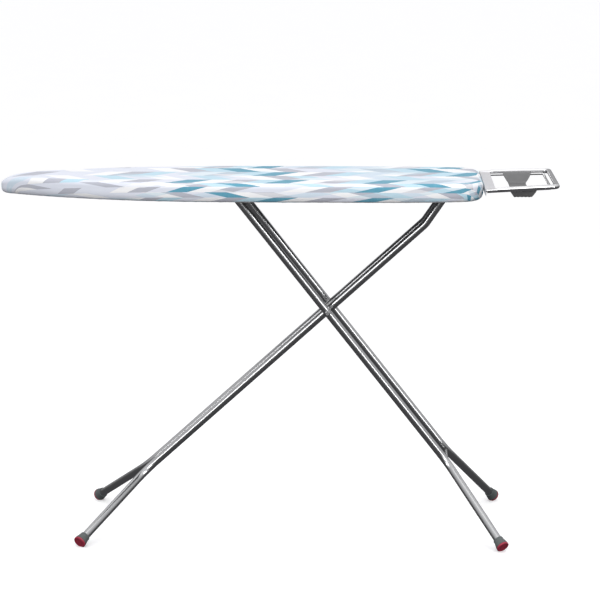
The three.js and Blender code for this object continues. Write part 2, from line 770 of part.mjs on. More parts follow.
function crossbar() {
  const x1 = crossbarX + restCrossbarWidth;
  const outline = [
    [crossbarX, crossbarTop - restFlangeHeight], [crossbarX + plateThickness, crossbarTop - restFlangeHeight],
    [crossbarX + plateThickness, crossbarTop - plateThickness], [x1, crossbarTop - plateThickness],
    [x1, crossbarTop], [crossbarX, crossbarTop],
  ];
  return cut(alongY(outline, 2 * crossbarHalfLength), ...restBoltHoles());
}

// The tray hangs between the wires: a strip bent to a shallow U, narrower at its floor.
function restTray() {
  const x0 = crossbarX + trayFromCrossbar;
  const x1 = x0 + trayTopWidth;
  const [, , end] = restCorners(wireInset, wireDrop, crossbarX, x1);
  const lipZ = end.z + wireRadius + seatGap + trayThickness;
  const wallY = end.y - wireRadius - 2 * seatGap - trayThickness;
  const floorZ = lipZ - trayDepth;
  const corners = [
    [wallY + trayLip, lipZ], [wallY, lipZ], [wallY - trayDepth * 0.45, floorZ],
    [-wallY + trayDepth * 0.45, floorZ], [-wallY, lipZ], [-wallY - trayLip, lipZ],
  ].map(([y, z]) => new THREE.Vector3(0, y, z));
  const upper = roundedKnots(corners.slice(0, 3), 3, 3).slice(0, -1);
  const floorBend = roundedKnots(corners.slice(1, 4), trayCornerRadius, 5).slice(1, -1);
  const halfLine = [...upper, ...floorBend].map((point) => [point.y, point.z]);
  const topLine = [...halfLine, ...halfLine.slice().reverse().map(([y, z]) => [-y, z])];
  const strip = alongX(thickened(topLine, trayThickness), x0, x1);
  const side = (trayTopWidth - trayFloorWidth) / 2;
  const y = wallY + trayLip + 5;
  const trim = [[x0, lipZ - 2], [x0 + side, floorZ - 2], [x1 - side, floorZ - 2], [x1, lipZ - 2], [x1, lipZ + 2],
    [x0, lipZ + 2]];
  return toGeometry(toSolid(strip).intersect(toSolid(alongY(trim, 2 * y))));
}

// Closed outline of a sheet whose upper face follows a line of [across, up] points.
function thickened(line, thickness) {
  const lower = line.map(([y, z], i) => {
    const [y0, z0] = line[Math.max(i - 1, 0)];
    const [y1, z1] = line[Math.min(i + 1, line.length - 1)];
    const length = Math.hypot(y1 - y0, z1 - z0);
    return [y - (thickness * (z1 - z0)) / length, z + (thickness * (y1 - y0)) / length];
  });
  return [...line, ...lower.reverse()];
}

function addIronRest() {
  add("rest_crossbar", crossbar(), paintedSteel);
  const loop = restCorners(0, 0, crossbarX, restEndX);
  const first = roundedKnots(loop.slice(0, 3), restCornerRadius).slice(0, -1);
  const second = roundedKnots(loop.slice(1), restCornerRadius).slice(1);
  add("rest_loop", bar([...first, ...second], restTubeRadius, 12), chrome);
  const wire = restCorners(wireInset, wireDrop, crossbarX + plateThickness + 2, restEndX - wireInset);
  const wireFirst = roundedKnots(wire.slice(0, 3), restCornerRadius / 2, 4).slice(0, -1);
  const wireSecond = roundedKnots(wire.slice(1), restCornerRadius / 2, 4).slice(1);
  add("rest_wire", bar([...wireFirst, ...wireSecond], wireRadius, 8), chrome);
  add("rest_tray", restTray(), trayPaint);
  for (const [label, side] of [["near", -1], ["far", 1]]) {
    add(`rest_bolt_${label}`, restBolt(side * restBoltHalfSpacing), zinc);
  }
}

function restBolt(y) {
  const flangeFace = crossbarX + plateThickness + seatGap;
  const inner = boardLength - rimInset - rimThickness - 4;
  const points = [
    [0, inner], [restBoltRadius, inner], [restBoltRadius, flangeFace], [restBoltHeadRadius, flangeFace],
    [restBoltHeadRadius, flangeFace + restBoltHeadHeight * 0.6],
    [restBoltHeadRadius * 0.7, flangeFace + restBoltHeadHeight], [0, flangeFace + restBoltHeadHeight],
  ].map(([r, h]) => new THREE.Vector2(r, h));
  return new THREE.LatheGeometry(points, 12).rotateZ(-Math.PI / 2).translate(0, y, restBoltZ);
}

// ---------------------------------------------------------------- assembly
addIroningTop();
addGuideRails();
addLegHinge();
addHeightLatch();
addOuterLegs();
addInnerLegs();
addIronRest();

export default model;
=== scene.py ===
import math

import bmesh
import bpy
import numpy as np
from mathutils import Matrix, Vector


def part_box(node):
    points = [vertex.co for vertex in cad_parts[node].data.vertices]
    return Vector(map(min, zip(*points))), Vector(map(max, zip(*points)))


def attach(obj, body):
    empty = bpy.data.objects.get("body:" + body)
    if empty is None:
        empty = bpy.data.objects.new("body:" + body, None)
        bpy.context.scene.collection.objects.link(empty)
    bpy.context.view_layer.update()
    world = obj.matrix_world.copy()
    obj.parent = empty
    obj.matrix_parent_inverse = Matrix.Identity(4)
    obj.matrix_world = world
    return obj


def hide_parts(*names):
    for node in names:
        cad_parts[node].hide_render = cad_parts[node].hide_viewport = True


# Folding ironing board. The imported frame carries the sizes, and the fine surfaces are worked out here, in
# metres.
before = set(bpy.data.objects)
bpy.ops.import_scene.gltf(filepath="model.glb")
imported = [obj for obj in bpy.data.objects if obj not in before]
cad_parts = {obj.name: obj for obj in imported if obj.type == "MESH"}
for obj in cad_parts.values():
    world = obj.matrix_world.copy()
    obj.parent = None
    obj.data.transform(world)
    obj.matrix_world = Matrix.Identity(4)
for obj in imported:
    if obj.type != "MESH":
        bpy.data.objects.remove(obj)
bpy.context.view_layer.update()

MM = 0.001

# ------------ places read from the frame
cover_low, cover_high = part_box("cover")
NOSE_X = cover_low.x
BOARD_TOP = cover_high.z
BOARD_BOTTOM = cover_low.z
BOARD_LENGTH = cover_high.x - cover_low.x
HALF_WIDTH = cover_high.y


def middle(node):
    """Centre of a frame piece's box: half the sum of its two corners."""
    low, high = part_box(node)
    return np.array([(a + b) / 2 for a, b in zip(low, high)])


PIVOT = middle("pivot_rod")
HINGE = middle("hinge_rod")
GLIDE = middle("glide_rod")
LATCH_PIN = middle("latch_pin")
HANDLE = middle("latch_handle")

# ------------ sizes of this board
COVER_THICKNESS = 1.3 * MM
EDGE_RADIUS = 14 * MM
HEM_WIDTH = 18 * MM
TUBE_RADIUS = 10 * MM
TUBE_WALL = 1.2 * MM
OUTER_HALF_GAP = 75 * MM
INNER_HALF_GAP = 32.5 * MM
OUTER_ANGLE = math.radians(51.7)
INNER_ANGLE = math.radians(42)
INNER_TOP_ANGLE = math.radians(55.5)
OUTER_SPREAD = 261 * MM
INNER_SPREAD = 243 * MM
OUTER_SPLAY = 214 * MM
INNER_SPLAY = 200 * MM
SPLAY_BEND = 90 * MM
TOP_BEND = 60 * MM
LEG_OVERHANG = 12 * MM
INNER_TOP_LENGTH = 104.27 * MM
FOOT_HEIGHT = 11.5 * MM
FOOT_FLOOR = 8 * MM
FOOT_LENGTH = 26 * MM
FOOT_END_RADIUS = 16 * MM
FOOT_COLLAR_RADIUS = 12.6 * MM
FOOT_PAD = 5 * MM
SEAT_GAP = 0.3 * MM
PRINT_PULL = 5.9
UNDER_DEPTH = 20 * MM
UNDER_REACH = 15 * MM
CORD_RADIUS = 1.9 * MM
REST_SCREW_HOLE = 3.3 * MM
SLIVER = 0.005 * MM
NOSE_SETBACK = 15 * MM
NOSE_TAPER = 300 * MM
CORD_GAP = 0.5 * MM
GATHER_LIFT = 1.1
PIN_RADIUS = 4 * MM
PIN_HEAD = 7 * MM
PIN_HEAD_HEIGHT = 3 * MM
PIN_BORE = 0.55 * PIN_RADIUS
PIN_HOLE = 4.3 * MM
FOLD_PIN_REACH = 50 * MM
SLIDE_ROD_RADIUS = 5 * MM
SLIDE_HOLE = 5.3 * MM
BUSH_RADIUS = 7 * MM
COLLAR_RADIUS = 8 * MM
SPACER_GROOVE = 0.7 * MM
TIE_RADIUS = 4 * MM


# ------------ surfaces
def unit(v):
    """Each vector divided by its own length."""
    return v / np.linalg.norm(v, axis=-1, keepdims=True)


def piece_from(name, points, faces, uv=None):
    """A mesh object from an array of points and lists of corners, with its place in its mesh and with
    each of its named layers of flat places."""
    mesh = bpy.data.meshes.new(name)
    mesh.from_pydata(points.tolist(), [], faces)
    mesh.polygons.foreach_set("use_smooth", np.full(len(mesh.polygons), True))
    corners = np.empty(len(mesh.loops), dtype=np.int32)
    mesh.loops.foreach_get("vertex_index", corners)
    for layer_name, places in (uv or {}).items():
        layer = mesh.uv_layers.new(name=layer_name)
        layer.data.foreach_set("uv", places.reshape(-1, 2)[corners].astype(np.float32).ravel())
    mesh.update()
    obj = bpy.data.objects.new(name, mesh)
    bpy.context.scene.collection.objects.link(obj)
    return obj


def grid_surface(name, grid, round_rows=False, round_cols=True, caps=(False, False), uv=None):
    """Quads over a grid of points P(i, j); a direction that is round joins its last line to its first,
    and a cap closes the first or last row with one flat face."""
    rows, cols = grid.shape[:2]
    index = np.arange(rows * cols).reshape(rows, cols)
    i = index if not round_rows else np.vstack([index, index[:1]])
    i = i if not round_cols else np.hstack([i, i[:, :1]])
    quads = np.stack([i[:-1, :-1], i[:-1, 1:], i[1:, 1:], i[1:, :-1]], axis=-1).reshape(-1, 4).tolist()
    if caps[0]:
        quads.append(index[0, ::-1].tolist())
    if caps[1]:
        quads.append(index[-1].tolist())
    return piece_from(name, grid.reshape(-1, 3), quads, uv)


def carried(route, radius, sides, upright, height=None):
    """Circle of the given radius carried along a route:
    P(s, a) = route(s) + r(s) (cos a N(s) + h(s) sin a B(s)),
    where N is across both the route and the upright direction, and B is across the route and N. The height
    h is a share of the radius, 1 where none is given."""
    along = unit(np.gradient(route, axis=0))
    across = unit(np.cross(along, np.asarray(upright, dtype=float)))
    over = np.cross(across, along)
    turn = np.linspace(0, 2 * np.pi, sides, endpoint=False)[None, :, None]
    r = np.broadcast_to(np.asarray(radius, dtype=float), (len(route),))[:, None, None]
    tall = 1.0 if height is None else height[:, None, None]
    return route[:, None] + r * (np.cos(turn) * across[:, None] - tall * np.sin(turn) * over[:, None])


def rounded_route(corners, bend, step=4 * MM, bend_steps=24):
    """Straight runs between corners; each inner corner is an arc that touches both runs, its centre on
    the line that halves the corner."""
    corners = [np.asarray(c, dtype=float) for c in corners]
    knots = [corners[0][None]]
    for before, here, after in zip(corners, corners[1:], corners[2:]):
        back, ahead = unit(before - here), unit(after - here)
        half = math.acos(float(np.clip(back @ ahead, -1, 1))) / 2
        centre = here + unit(back + ahead) * bend / math.sin(half)
        start = here + back * bend / math.tan(half) - centre
        end = here + ahead * bend / math.tan(half) - centre
        sweep = math.acos(float(np.clip(unit(start) @ unit(end), -1, 1)))
        share = np.linspace(0, 1, bend_steps)[:, None]
        arc = np.sin((1 - share) * sweep) * start + np.sin(share * sweep) * end
        knots.append(centre + arc / math.sin(sweep))
    knots.append(corners[-1][None])
    line = np.vstack(knots)
    runs = np.linalg.norm(np.diff(line, axis=0), axis=1)
    counts = np.maximum(1, np.ceil(runs / step)).astype(int)
    parts = [np.linspace(k, k + 1, n, endpoint=False) for k, n in enumerate(counts)]
    places = np.concatenate(parts + [[len(line) - 1]])
    return np.stack([np.interp(places, np.arange(len(line)), line[:, k]) for k in range(3)], axis=1)


def softened(profile, bend, steps=5):
    """A profile of straight runs with each inner corner turned on a parabola that starts and ends
    one bend away, or half a run where the run is short."""
    p = np.asarray(profile, dtype=float)
    out = [p[:1]]
    for a, b, c in zip(p, p[1:], p[2:]):
        reach = min(bend, np.linalg.norm(a - b) * 0.48, np.linalg.norm(c - b) * 0.48)
        start, end = b + unit(a - b) * reach, b + unit(c - b) * reach
        t = np.linspace(0, 1, steps)[:, None]
        out.append((1 - t) ** 2 * start + 2 * t * (1 - t) * b + t ** 2 * end)
    out.append(p[-1:])
    return np.vstack(out)


def turned(name, profile, centre, axis, sides=48, bend=0.6 * MM):
    """A profile of (radius, height) turned about an axis:
    P(h, a) = centre + h axis + r (cos a N + sin a B)."""
    p = softened(profile, bend)
    axis = unit(np.asarray(axis, dtype=float))
    helper = np.array([0.0, 0.0, 1.0]) if abs(axis[2]) < 0.9 else np.array([1.0, 0.0, 0.0])
    across = unit(np.cross(helper, axis))
    over = np.cross(axis, across)
    a = np.linspace(0, 2 * np.pi, sides, endpoint=False)
    ring = p[p[:, 0] > 1e-7]
    r = ring[:, :1]
    grid = (np.asarray(centre) + ring[:, 1, None, None] * axis
            + (r * np.cos(a))[..., None] * across + (r * np.sin(a))[..., None] * over)
    closed = p[0, 0] <= 1e-7
    return grid_surface(name, grid, round_rows=not closed, caps=(closed, closed))


def bevelled(obj, width, segments=3, angle=35, weld=False):
    """Worn, slightly rounded edges; frame pieces have their loose triangles joined first."""
    if weld:
        obj.modifiers.new("joined", "WELD").merge_threshold = 0.00002
    edge = obj.modifiers.new("edges", "BEVEL")
    edge.width = width
    edge.segments = segments
    edge.limit_method = "ANGLE"
    edge.angle_limit = math.radians(angle)
    edge.harden_normals = False
    return obj


def bored(piece, radius, reach, centre, axis):
    """Cuts a round hole through a piece, along an axis and reaching as far to both sides of a centre. What
    shaped the piece before is made part of its mesh, and slivers that the cut leaves are taken out."""
    profile = [(0, -reach), (radius, -reach), (radius, reach), (0, reach)]
    drill = outward(turned("drill", profile, centre, axis, 36, 0.1 * MM))
    cut = piece.modifiers.new("hole", "BOOLEAN")
    cut.operation, cut.solver, cut.object = "DIFFERENCE", "EXACT", drill
    bpy.context.view_layer.update()
    shaped = bpy.data.meshes.new_from_object(piece.evaluated_get(bpy.context.evaluated_depsgraph_get()))
    piece.modifiers.clear()
    piece.data = shaped
    bpy.data.objects.remove(drill)
    shape = bmesh.new()
    shape.from_mesh(shaped)
    bmesh.ops.dissolve_degenerate(shape, dist=SLIVER, edges=shape.edges)
    bmesh.ops.triangulate(shape, faces=[face for face in shape.faces if len(face.verts) > 4])
    bmesh.ops.dissolve_degenerate(shape, dist=SLIVER, edges=shape.edges)
    shape.to_mesh(shaped)
    shape.free()


def points_of(mesh):
    """A mesh's points as rows of (x, y, z)."""
    co = np.empty(len(mesh.vertices) * 3)
    mesh.vertices.foreach_get("co", co)
    return co.reshape(-1, 3)


def outward(obj):
    """Turns the faces of a closed piece outwards: its signed volume is the sum of the triple products of
    its triangles, and a negative one means that every face is turned over."""
    mesh = obj.data
    mesh.calc_loop_triangles()
    corners = np.empty(len(mesh.loop_triangles) * 3, dtype=np.int32)
    mesh.loop_triangles.foreach_get("vertices", corners)
    tri = points_of(mesh)[corners.reshape(-1, 3)]
    if np.einsum("ij,ij->i", tri[:, 0], np.cross(tri[:, 1], tri[:, 2])).sum() < 0:
        mesh.flip_normals()
    return obj


def place(obj, body, slot, material, *nodes):
    """The piece rides on its body, takes the given material as its finish, and stands for its frame pieces;
    its slot is not used.
    """
    obj.data.materials.clear()
    obj.data.materials.append(material)
    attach(obj, body)
    if nodes:
        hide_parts(*nodes)
    return obj


# ------------ materials
class Finish:
    """A material's nodes, added one by one: put(type, inputs) makes a node and sets or links its inputs."""

    def __init__(self, name, **shader):
        self.material = bpy.data.materials.new(name)
        self.material.use_nodes = True
        self.tree = self.material.node_tree
        self.shader = self.tree.nodes["Principled BSDF"]
        for key, value in shader.items():
            self.shader.inputs[key.replace("_", " ")].default_value = value

    def put(self, kind, settings=None, **inputs):
        node = self.tree.nodes.new("ShaderNode" + kind)
        for key, value in (settings or {}).items():
            setattr(node, key, value)
        for key, value in inputs.items():
            self.feed(node.inputs[key.replace("_", " ")], value)
        return node

    def feed(self, socket, value):
        if hasattr(value, "is_output"):
            self.tree.links.new(value, socket)
        else:
            socket.default_value = value

    def math(self, operation, *values):
        node = self.put("Math", {"operation": operation})
        for socket, value in zip(node.inputs, values):
            self.feed(socket, value)
        return node.outputs[0]

    def mix(self, share, a, b, blend="MIX"):
        node = self.put("Mix", {"data_type": "RGBA", "blend_type": blend})
        self.feed(node.inputs[0], share)
        self.feed(node.inputs[6], a)
        self.feed(node.inputs[7], b)
        return node.outputs[2]

    def spread(self, value, low, high, to_low, to_high):
        node = self.put("MapRange", None, Value=value, From_Min=low, From_Max=high,
                        To_Min=to_low, To_Max=to_high)
        return node.outputs[0]

    def place_of(self, output="Object"):
        return self.put("TexCoord").outputs[output]

    def noise(self, vector, scale, detail=3.0, rough=0.5, stretch=None):
        if stretch is not None:
            vector = self.put("Mapping", None, Vector=vector, Scale=stretch).outputs[0]
        node = self.put("TexNoise", None, Vector=vector, Scale=scale, Detail=detail, Roughness=rough)
        return node.outputs["Fac"]

    def bump(self, height, strength, distance, after=None):
        node = self.put("Bump", None, Strength=strength, Distance=distance, Height=height)
        if after is not None:
            self.feed(node.inputs["Normal"], after)
        return node.outputs[0]

    def done(self, colour=None, roughness=None, normal=None):
        for key, value in (("Base Color", colour), ("Roughness", roughness), ("Normal", normal)):
            if value is not None:
                self.feed(self.shader.inputs[key], value)
        return self.material


def shade(r, g, b):
    """Display colour from 0 to 255 turned to the linear colour that nodes use."""
    c = np.array([r, g, b]) / 255
    linear = np.where(c <= 0.04045, c / 12.92, ((c + 0.055) / 1.055) ** 2.4)
    return (*linear.tolist(), 1.0)


CELL_WIDTH, CELL_HEIGHT, CELL_LEAN, CELL_START = 60 * MM, 78 * MM, 58 * MM, 30 * MM
VEIL_WIDTH, VEIL_HEIGHT, VEIL_LEAN, VEIL_START = 85 * MM, 70 * MM, -75 * MM, 66 * MM
TEAL_FROM = 460 * MM
WEAVE_SCALE = 420.0


def printed_cloth():
    """Zigzag rows of parallelograms: the row is the whole part of y over the row height, the zigzag is a
    triangle wave of y, and the column is the whole part of (x - zigzag) over the column width. The colour
    is (column + 2 row) modulo 4, so no neighbours match, and a random number for each cell says whether
    it is printed at all; more are printed towards the square end."""
    f = Finish("cover_cloth", Specular_IOR_Level=0.2, Sheen_Weight=0.12, Sheen_Roughness=0.5)
    flat = f.put("UVMap", {"uv_map": "flat"}).outputs[0]
    parts = f.put("SeparateXYZ", None, Vector=f.put("UVMap", {"uv_map": "print"}).outputs[0]).outputs
    x, y = parts[0], parts[1]
    up = f.math("DIVIDE", f.math("ADD", y, CELL_START), CELL_HEIGHT)
    zig = f.math("MULTIPLY", f.math("PINGPONG", up, 1.0), CELL_LEAN)
    row = f.math("FLOOR", up)
    drawn_slide = f.put("TexWhiteNoise", {"noise_dimensions": "1D"}, W=row).outputs[0]
    slide = f.math("MULTIPLY", drawn_slide, CELL_WIDTH)
    column = f.math("FLOOR", f.math("DIVIDE", f.math("SUBTRACT", f.math("ADD", x, slide), zig), CELL_WIDTH))
    cell = f.put("CombineXYZ", None, X=column, Y=row, Z=3.0).outputs[0]
    drawn = f.put("TexWhiteNoise", {"noise_dimensions": "3D"}, Vector=cell).outputs[0]
    kind = f.math("FLOORED_MODULO", f.math("ADD", column, f.math("MULTIPLY", row, 2.0)), 4.0)

    def printed(number, share):
        same = f.math("COMPARE", kind, float(number), 0.5)
        return f.math("MULTIPLY", same, f.math("LESS_THAN", drawn, share))

    centre = f.math("MULTIPLY", f.math("ADD", column, 1.0), CELL_WIDTH)
    crowd = f.spread(centre, 0.22, 0.62, 0.42, 0.94)
    teal_share = f.math("MULTIPLY", f.math("GREATER_THAN", centre, TEAL_FROM),
                        f.spread(centre, TEAL_FROM, 1.0, 0.42, 0.66))
    grain = f.noise(flat, 26.0, 3.0)
    teals = f.mix(grain, shade(78, 148, 176), shade(106, 174, 196))
    print_colour = f.mix(printed(0, crowd), shade(229, 233, 244), shade(252, 252, 253))
    print_colour = f.mix(printed(1, crowd), print_colour, shade(188, 190, 201))
    print_colour = f.mix(printed(2, f.math("MULTIPLY", crowd, 0.9)), print_colour, shade(193, 224, 238))
    veil_up = f.math("DIVIDE", f.math("ADD", y, VEIL_START), VEIL_HEIGHT)
    veil_zig = f.math("MULTIPLY", f.math("PINGPONG", veil_up, 1.0), VEIL_LEAN)
    veil_column = f.math("FLOOR", f.math("DIVIDE", f.math("SUBTRACT", x, veil_zig), VEIL_WIDTH))
    veil_cell = f.put("CombineXYZ", None, X=veil_column, Y=f.math("FLOOR", veil_up), Z=21.0).outputs[0]
    veil = f.put("TexWhiteNoise", {"noise_dimensions": "3D"}, Vector=veil_cell)
    veil_pick = f.put("SeparateXYZ", None, Vector=veil.outputs[1]).outputs[1]
    veil_tint = f.mix(f.math("GREATER_THAN", veil_pick, 0.45), shade(252, 252, 254), shade(196, 222, 236))
    veil_share = f.spread(centre, 0.25, 0.7, 0.10, 0.50)
    veiled = f.math("MULTIPLY", f.math("LESS_THAN", veil.outputs[0], veil_share), 0.5)
    print_colour = f.mix(veiled, print_colour, veil_tint)
    print_colour = f.mix(printed(3, teal_share), print_colour, teals)

    warp, weft = (f.put("TexWave", {"wave_type": "BANDS", "bands_direction": way},
                        Vector=flat, Scale=WEAVE_SCALE, Distortion=0.6) for way in ("X", "Y"))
    weave = f.math("MULTIPLY", warp.outputs["Fac"], weft.outputs["Fac"])
    slub = f.noise(flat, 160.0, 2.0, stretch=(1.0, 0.12, 1.0))
    colour = f.mix(f.spread(weave, 0.0, 1.0, 0.035, 0.0), print_colour, shade(150, 156, 172))
    colour = f.mix(f.spread(slub, 0.3, 0.75, 0.0, 0.03), colour, shade(255, 255, 255))
    relief = f.math("ADD", f.math("MULTIPLY", weave, 0.7), f.math("MULTIPLY", slub, 0.5))
    creases = f.bump(f.noise(flat, 7.0, 2.0), 0.10, 0.004)
    return f.done(colour, f.spread(slub, 0.2, 0.8, 0.78, 0.9), f.bump(relief, 0.22, 0.00025, creases))


def felt():
    """Pressed felt: fine drawn-out fibres over slow clumps of tone."""
    f = Finish("pad_felt", Sheen_Weight=0.2, Sheen_Roughness=0.6, Specular_IOR_Level=0.15)
    at = f.place_of()
    fibres = f.noise(at, 900.0, 5.0, 0.7, stretch=(1.0, 0.3, 1.0))
    clumps = f.noise(at, 60.0, 3.0)
    colour = f.mix(clumps, shade(232, 230, 222), shade(247, 246, 241))
    colour = f.mix(f.spread(fibres, 0.3, 0.7, 0.0, 0.25), colour, shade(205, 202, 192))
    return f.done(colour, f.spread(fibres, 0, 1, 0.85, 1.0), f.bump(fibres, 0.5, 0.0006))


def metal(name, dark, light, rough, grain_stretch, brushed=0.05, spangle=0.0):
    """Bare metal: a drawn grain, faint smudges in the gloss, and crystals where it is zinc coated."""
    f = Finish(name, Metallic=1.0)
    at = f.place_of()
    grain = f.noise(at, 700.0, 2.0, 0.5, stretch=grain_stretch)
    smudge = f.noise(at, 14.0, 4.0, 0.6)
    tone = f.mix(smudge, dark, light)
    gloss = f.math("ADD", f.spread(smudge, 0.25, 0.75, rough * 0.9, rough * 1.12),
                   f.spread(grain, 0.3, 0.7, -brushed, brushed))
    normal = f.bump(f.noise(at, 22.0, 1.0), 0.02, 0.0001)
    if spangle:
        crystal = f.put("TexVoronoi", None, Vector=at, Scale=150.0).outputs["Color"]
        tint = f.put("SeparateXYZ", None, Vector=crystal).outputs[0]
        tone = f.mix(f.spread(tint, 0.0, 1.0, 0.0, spangle), tone, light)
        gloss = f.math("ADD", gloss, f.spread(tint, 0.0, 1.0, -0.07, 0.09))
    return f.done(tone, gloss, normal)


def coated(name, tone, worn, rough, grain=700.0, relief=0.12, coat=0.0, speck=0.25):
    """Paint, plastic or rubber: fine orange-peel grain, slow drift of tone, and paler rub marks."""
    f = Finish(name, Specular_IOR_Level=0.45, Coat_Weight=coat, Coat_Roughness=0.25)
    at = f.place_of()
    fine = f.noise(at, grain, 3.0, 0.6)
    drift = f.noise(at, 18.0, 3.0)
    rub = f.noise(at, 90.0, 5.0, 0.7)
    colour = f.mix(f.spread(drift, 0.3, 0.7, 0.0, 0.35), tone, worn)
    colour = f.mix(f.spread(rub, 0.55, 0.8, 0.0, speck), colour, worn)
    return f.done(colour, f.spread(fine, 0.2, 0.8, rough - 0.06, rough + 0.08), f.bump(fine, relief, 0.0003))


CLOTH = printed_cloth()
FELT = felt()
CHROME = metal("chromed_tube", (0.50, 0.503, 0.51, 1), (0.56, 0.563, 0.57, 1), 0.2, (1.0, 1.0, 1.0), 0.001)
REST_CHROME = metal("rest_chrome", (0.74, 0.74, 0.75, 1), (0.86, 0.86, 0.87, 1), 0.09, (1.0, 1.0, 1.0), 0.002)
ZINC = metal("zinc_steel", (0.36, 0.365, 0.37, 1), (0.56, 0.565, 0.57, 1), 0.36, (1.0, 0.3, 1.0), 0.05, 0.6)
CROSSBAR = coated("crossbar_paint", shade(214, 213, 216), shade(236, 234, 236), 0.38, 900.0, 0.1, 0.25)
TRAY = coated("tray_paint", shade(112, 112, 113), shade(140, 140, 141), 0.5, 1100.0, 0.25)
RUBBER = coated("foot_rubber", shade(88, 93, 93), shade(118, 123, 123), 0.62, 800.0, 0.3)
RED = coated("foot_red", shade(162, 42, 64), shade(186, 70, 96), 0.5, 700.0, 0.2)
NYLON = coated("nylon", shade(228, 228, 224), shade(240, 240, 238), 0.42, 600.0, 0.06)
GRIP = coated("grip_plastic", shade(64, 67, 72), shade(96, 99, 104), 0.45, 900.0, 0.3)


# ------------ the board's outline
def curve(a, b, c, d, steps=60):
    """Cubic between a and d that leaves towards b and arrives from c."""
    t = np.linspace(0, 1, steps)[:, None]
    a, b, c, d = (np.asarray(p, dtype=float) for p in (a, b, c, d))
    return (1 - t) ** 3 * a + 3 * t * (1 - t) ** 2 * b + 3 * t ** 2 * (1 - t) * c + t ** 3 * d


def board_outline(count):
    """Closed outline from the nose tip round the near side to the square end and back, with points closer
    together at the nose. Returns the points, their inward directions, and the spine point for each."""
    w, end, corner = HALF_WIDTH / MM, BOARD_LENGTH / MM, BOARD_LENGTH / MM - 46
    half = np.vstack([
        curve((0, 0), (0, 14), (6, 20), (13, 25)),
        curve((13, 25), (72, 68), (165, 115), (300, 153))[1:],
        curve((300, 153), (410, w - 6), (540, w), (690, w))[1:],
        curve((690, w), (770, w), (850, w), (930, w))[1:],
        curve((930, w), (1020, w), (corner - 60, 185), (corner, 168))[1:],
        curve((corner, 168), (corner + 30, 157), (end, 129), (end, 95))[1:],
        curve((end, 95), (end, 60), (end, 30), (end, 0))[1:],
    ]) * MM
    step = np.linalg.norm(np.diff(half, axis=0), axis=1)
    ends = half[1:, 0]
    weight = step * (1 + 2.5 * np.exp(-ends / 0.05) + 1.2 * np.exp(-(BOARD_LENGTH - ends) / 0.05))
    run = np.concatenate([[0], np.cumsum(weight)])
    even = np.linspace(0, run[-1], count // 2 + 1)
    near = np.stack([np.interp(even, run, half[:, k]) for k in range(2)], axis=1)
    loop = np.vstack([near * [1, -1], near[-2:0:-1]])
    ahead = unit(np.roll(loop, -1, axis=0) - np.roll(loop, 1, axis=0))
    inward = np.stack([-ahead[:, 1], ahead[:, 0]], axis=1)
    spine = np.stack([np.clip(loop[:, 0], 0.075, BOARD_LENGTH - 0.12), np.zeros(len(loop))], axis=1)
    return loop, inward, spine


def drawn_in(loop, inward, spine, inset):
    """Outline moved towards the spine until it lies an inset away: the share of the way is the inset over
    the spoke's length and the cosine between the spoke and the inward direction."""
    spoke = spine - loop
    cosine = np.clip((unit(spoke) * inward).sum(axis=1), 0.45, 1)
    share = np.minimum(0.9, inset / (np.linalg.norm(spoke, axis=1) * cosine))
    return loop + spoke * share[:, None]


def nose_drop(x):
    """How far the top slopes down at a distance from the nose tip: a falling exponential."""
    return np.minimum(13.5 * MM, 12 * MM * np.exp(-(x - 10.4 * MM) / (24 * MM)))


def skin_section(top, bottom, radius, hem, start=0.0):
    """(inset, height) from the flat top over the upper rounding, down the side and round under, on a
    quarter of an ellipse, to the hem."""
    up = np.linspace(0, np.pi / 2, 11)
    over = np.stack([start + radius * (1 - np.sin(up)), top - radius * (1 - np.cos(up))], axis=1)
    side = np.linspace(top - radius, bottom + UNDER_DEPTH - start, 6)[1:-1]
    side = np.stack([np.full(4, start), side], axis=1)
    under = np.stack([start + (UNDER_REACH - start) * (1 - np.cos(up)),
                      bottom + (UNDER_DEPTH - start) * (1 - np.sin(up))], axis=1)
    last = np.linspace(UNDER_REACH, hem, 5)[1:]
    flat = np.stack([last, np.full(4, bottom)], axis=1)
    return np.vstack([over, side, under, flat])


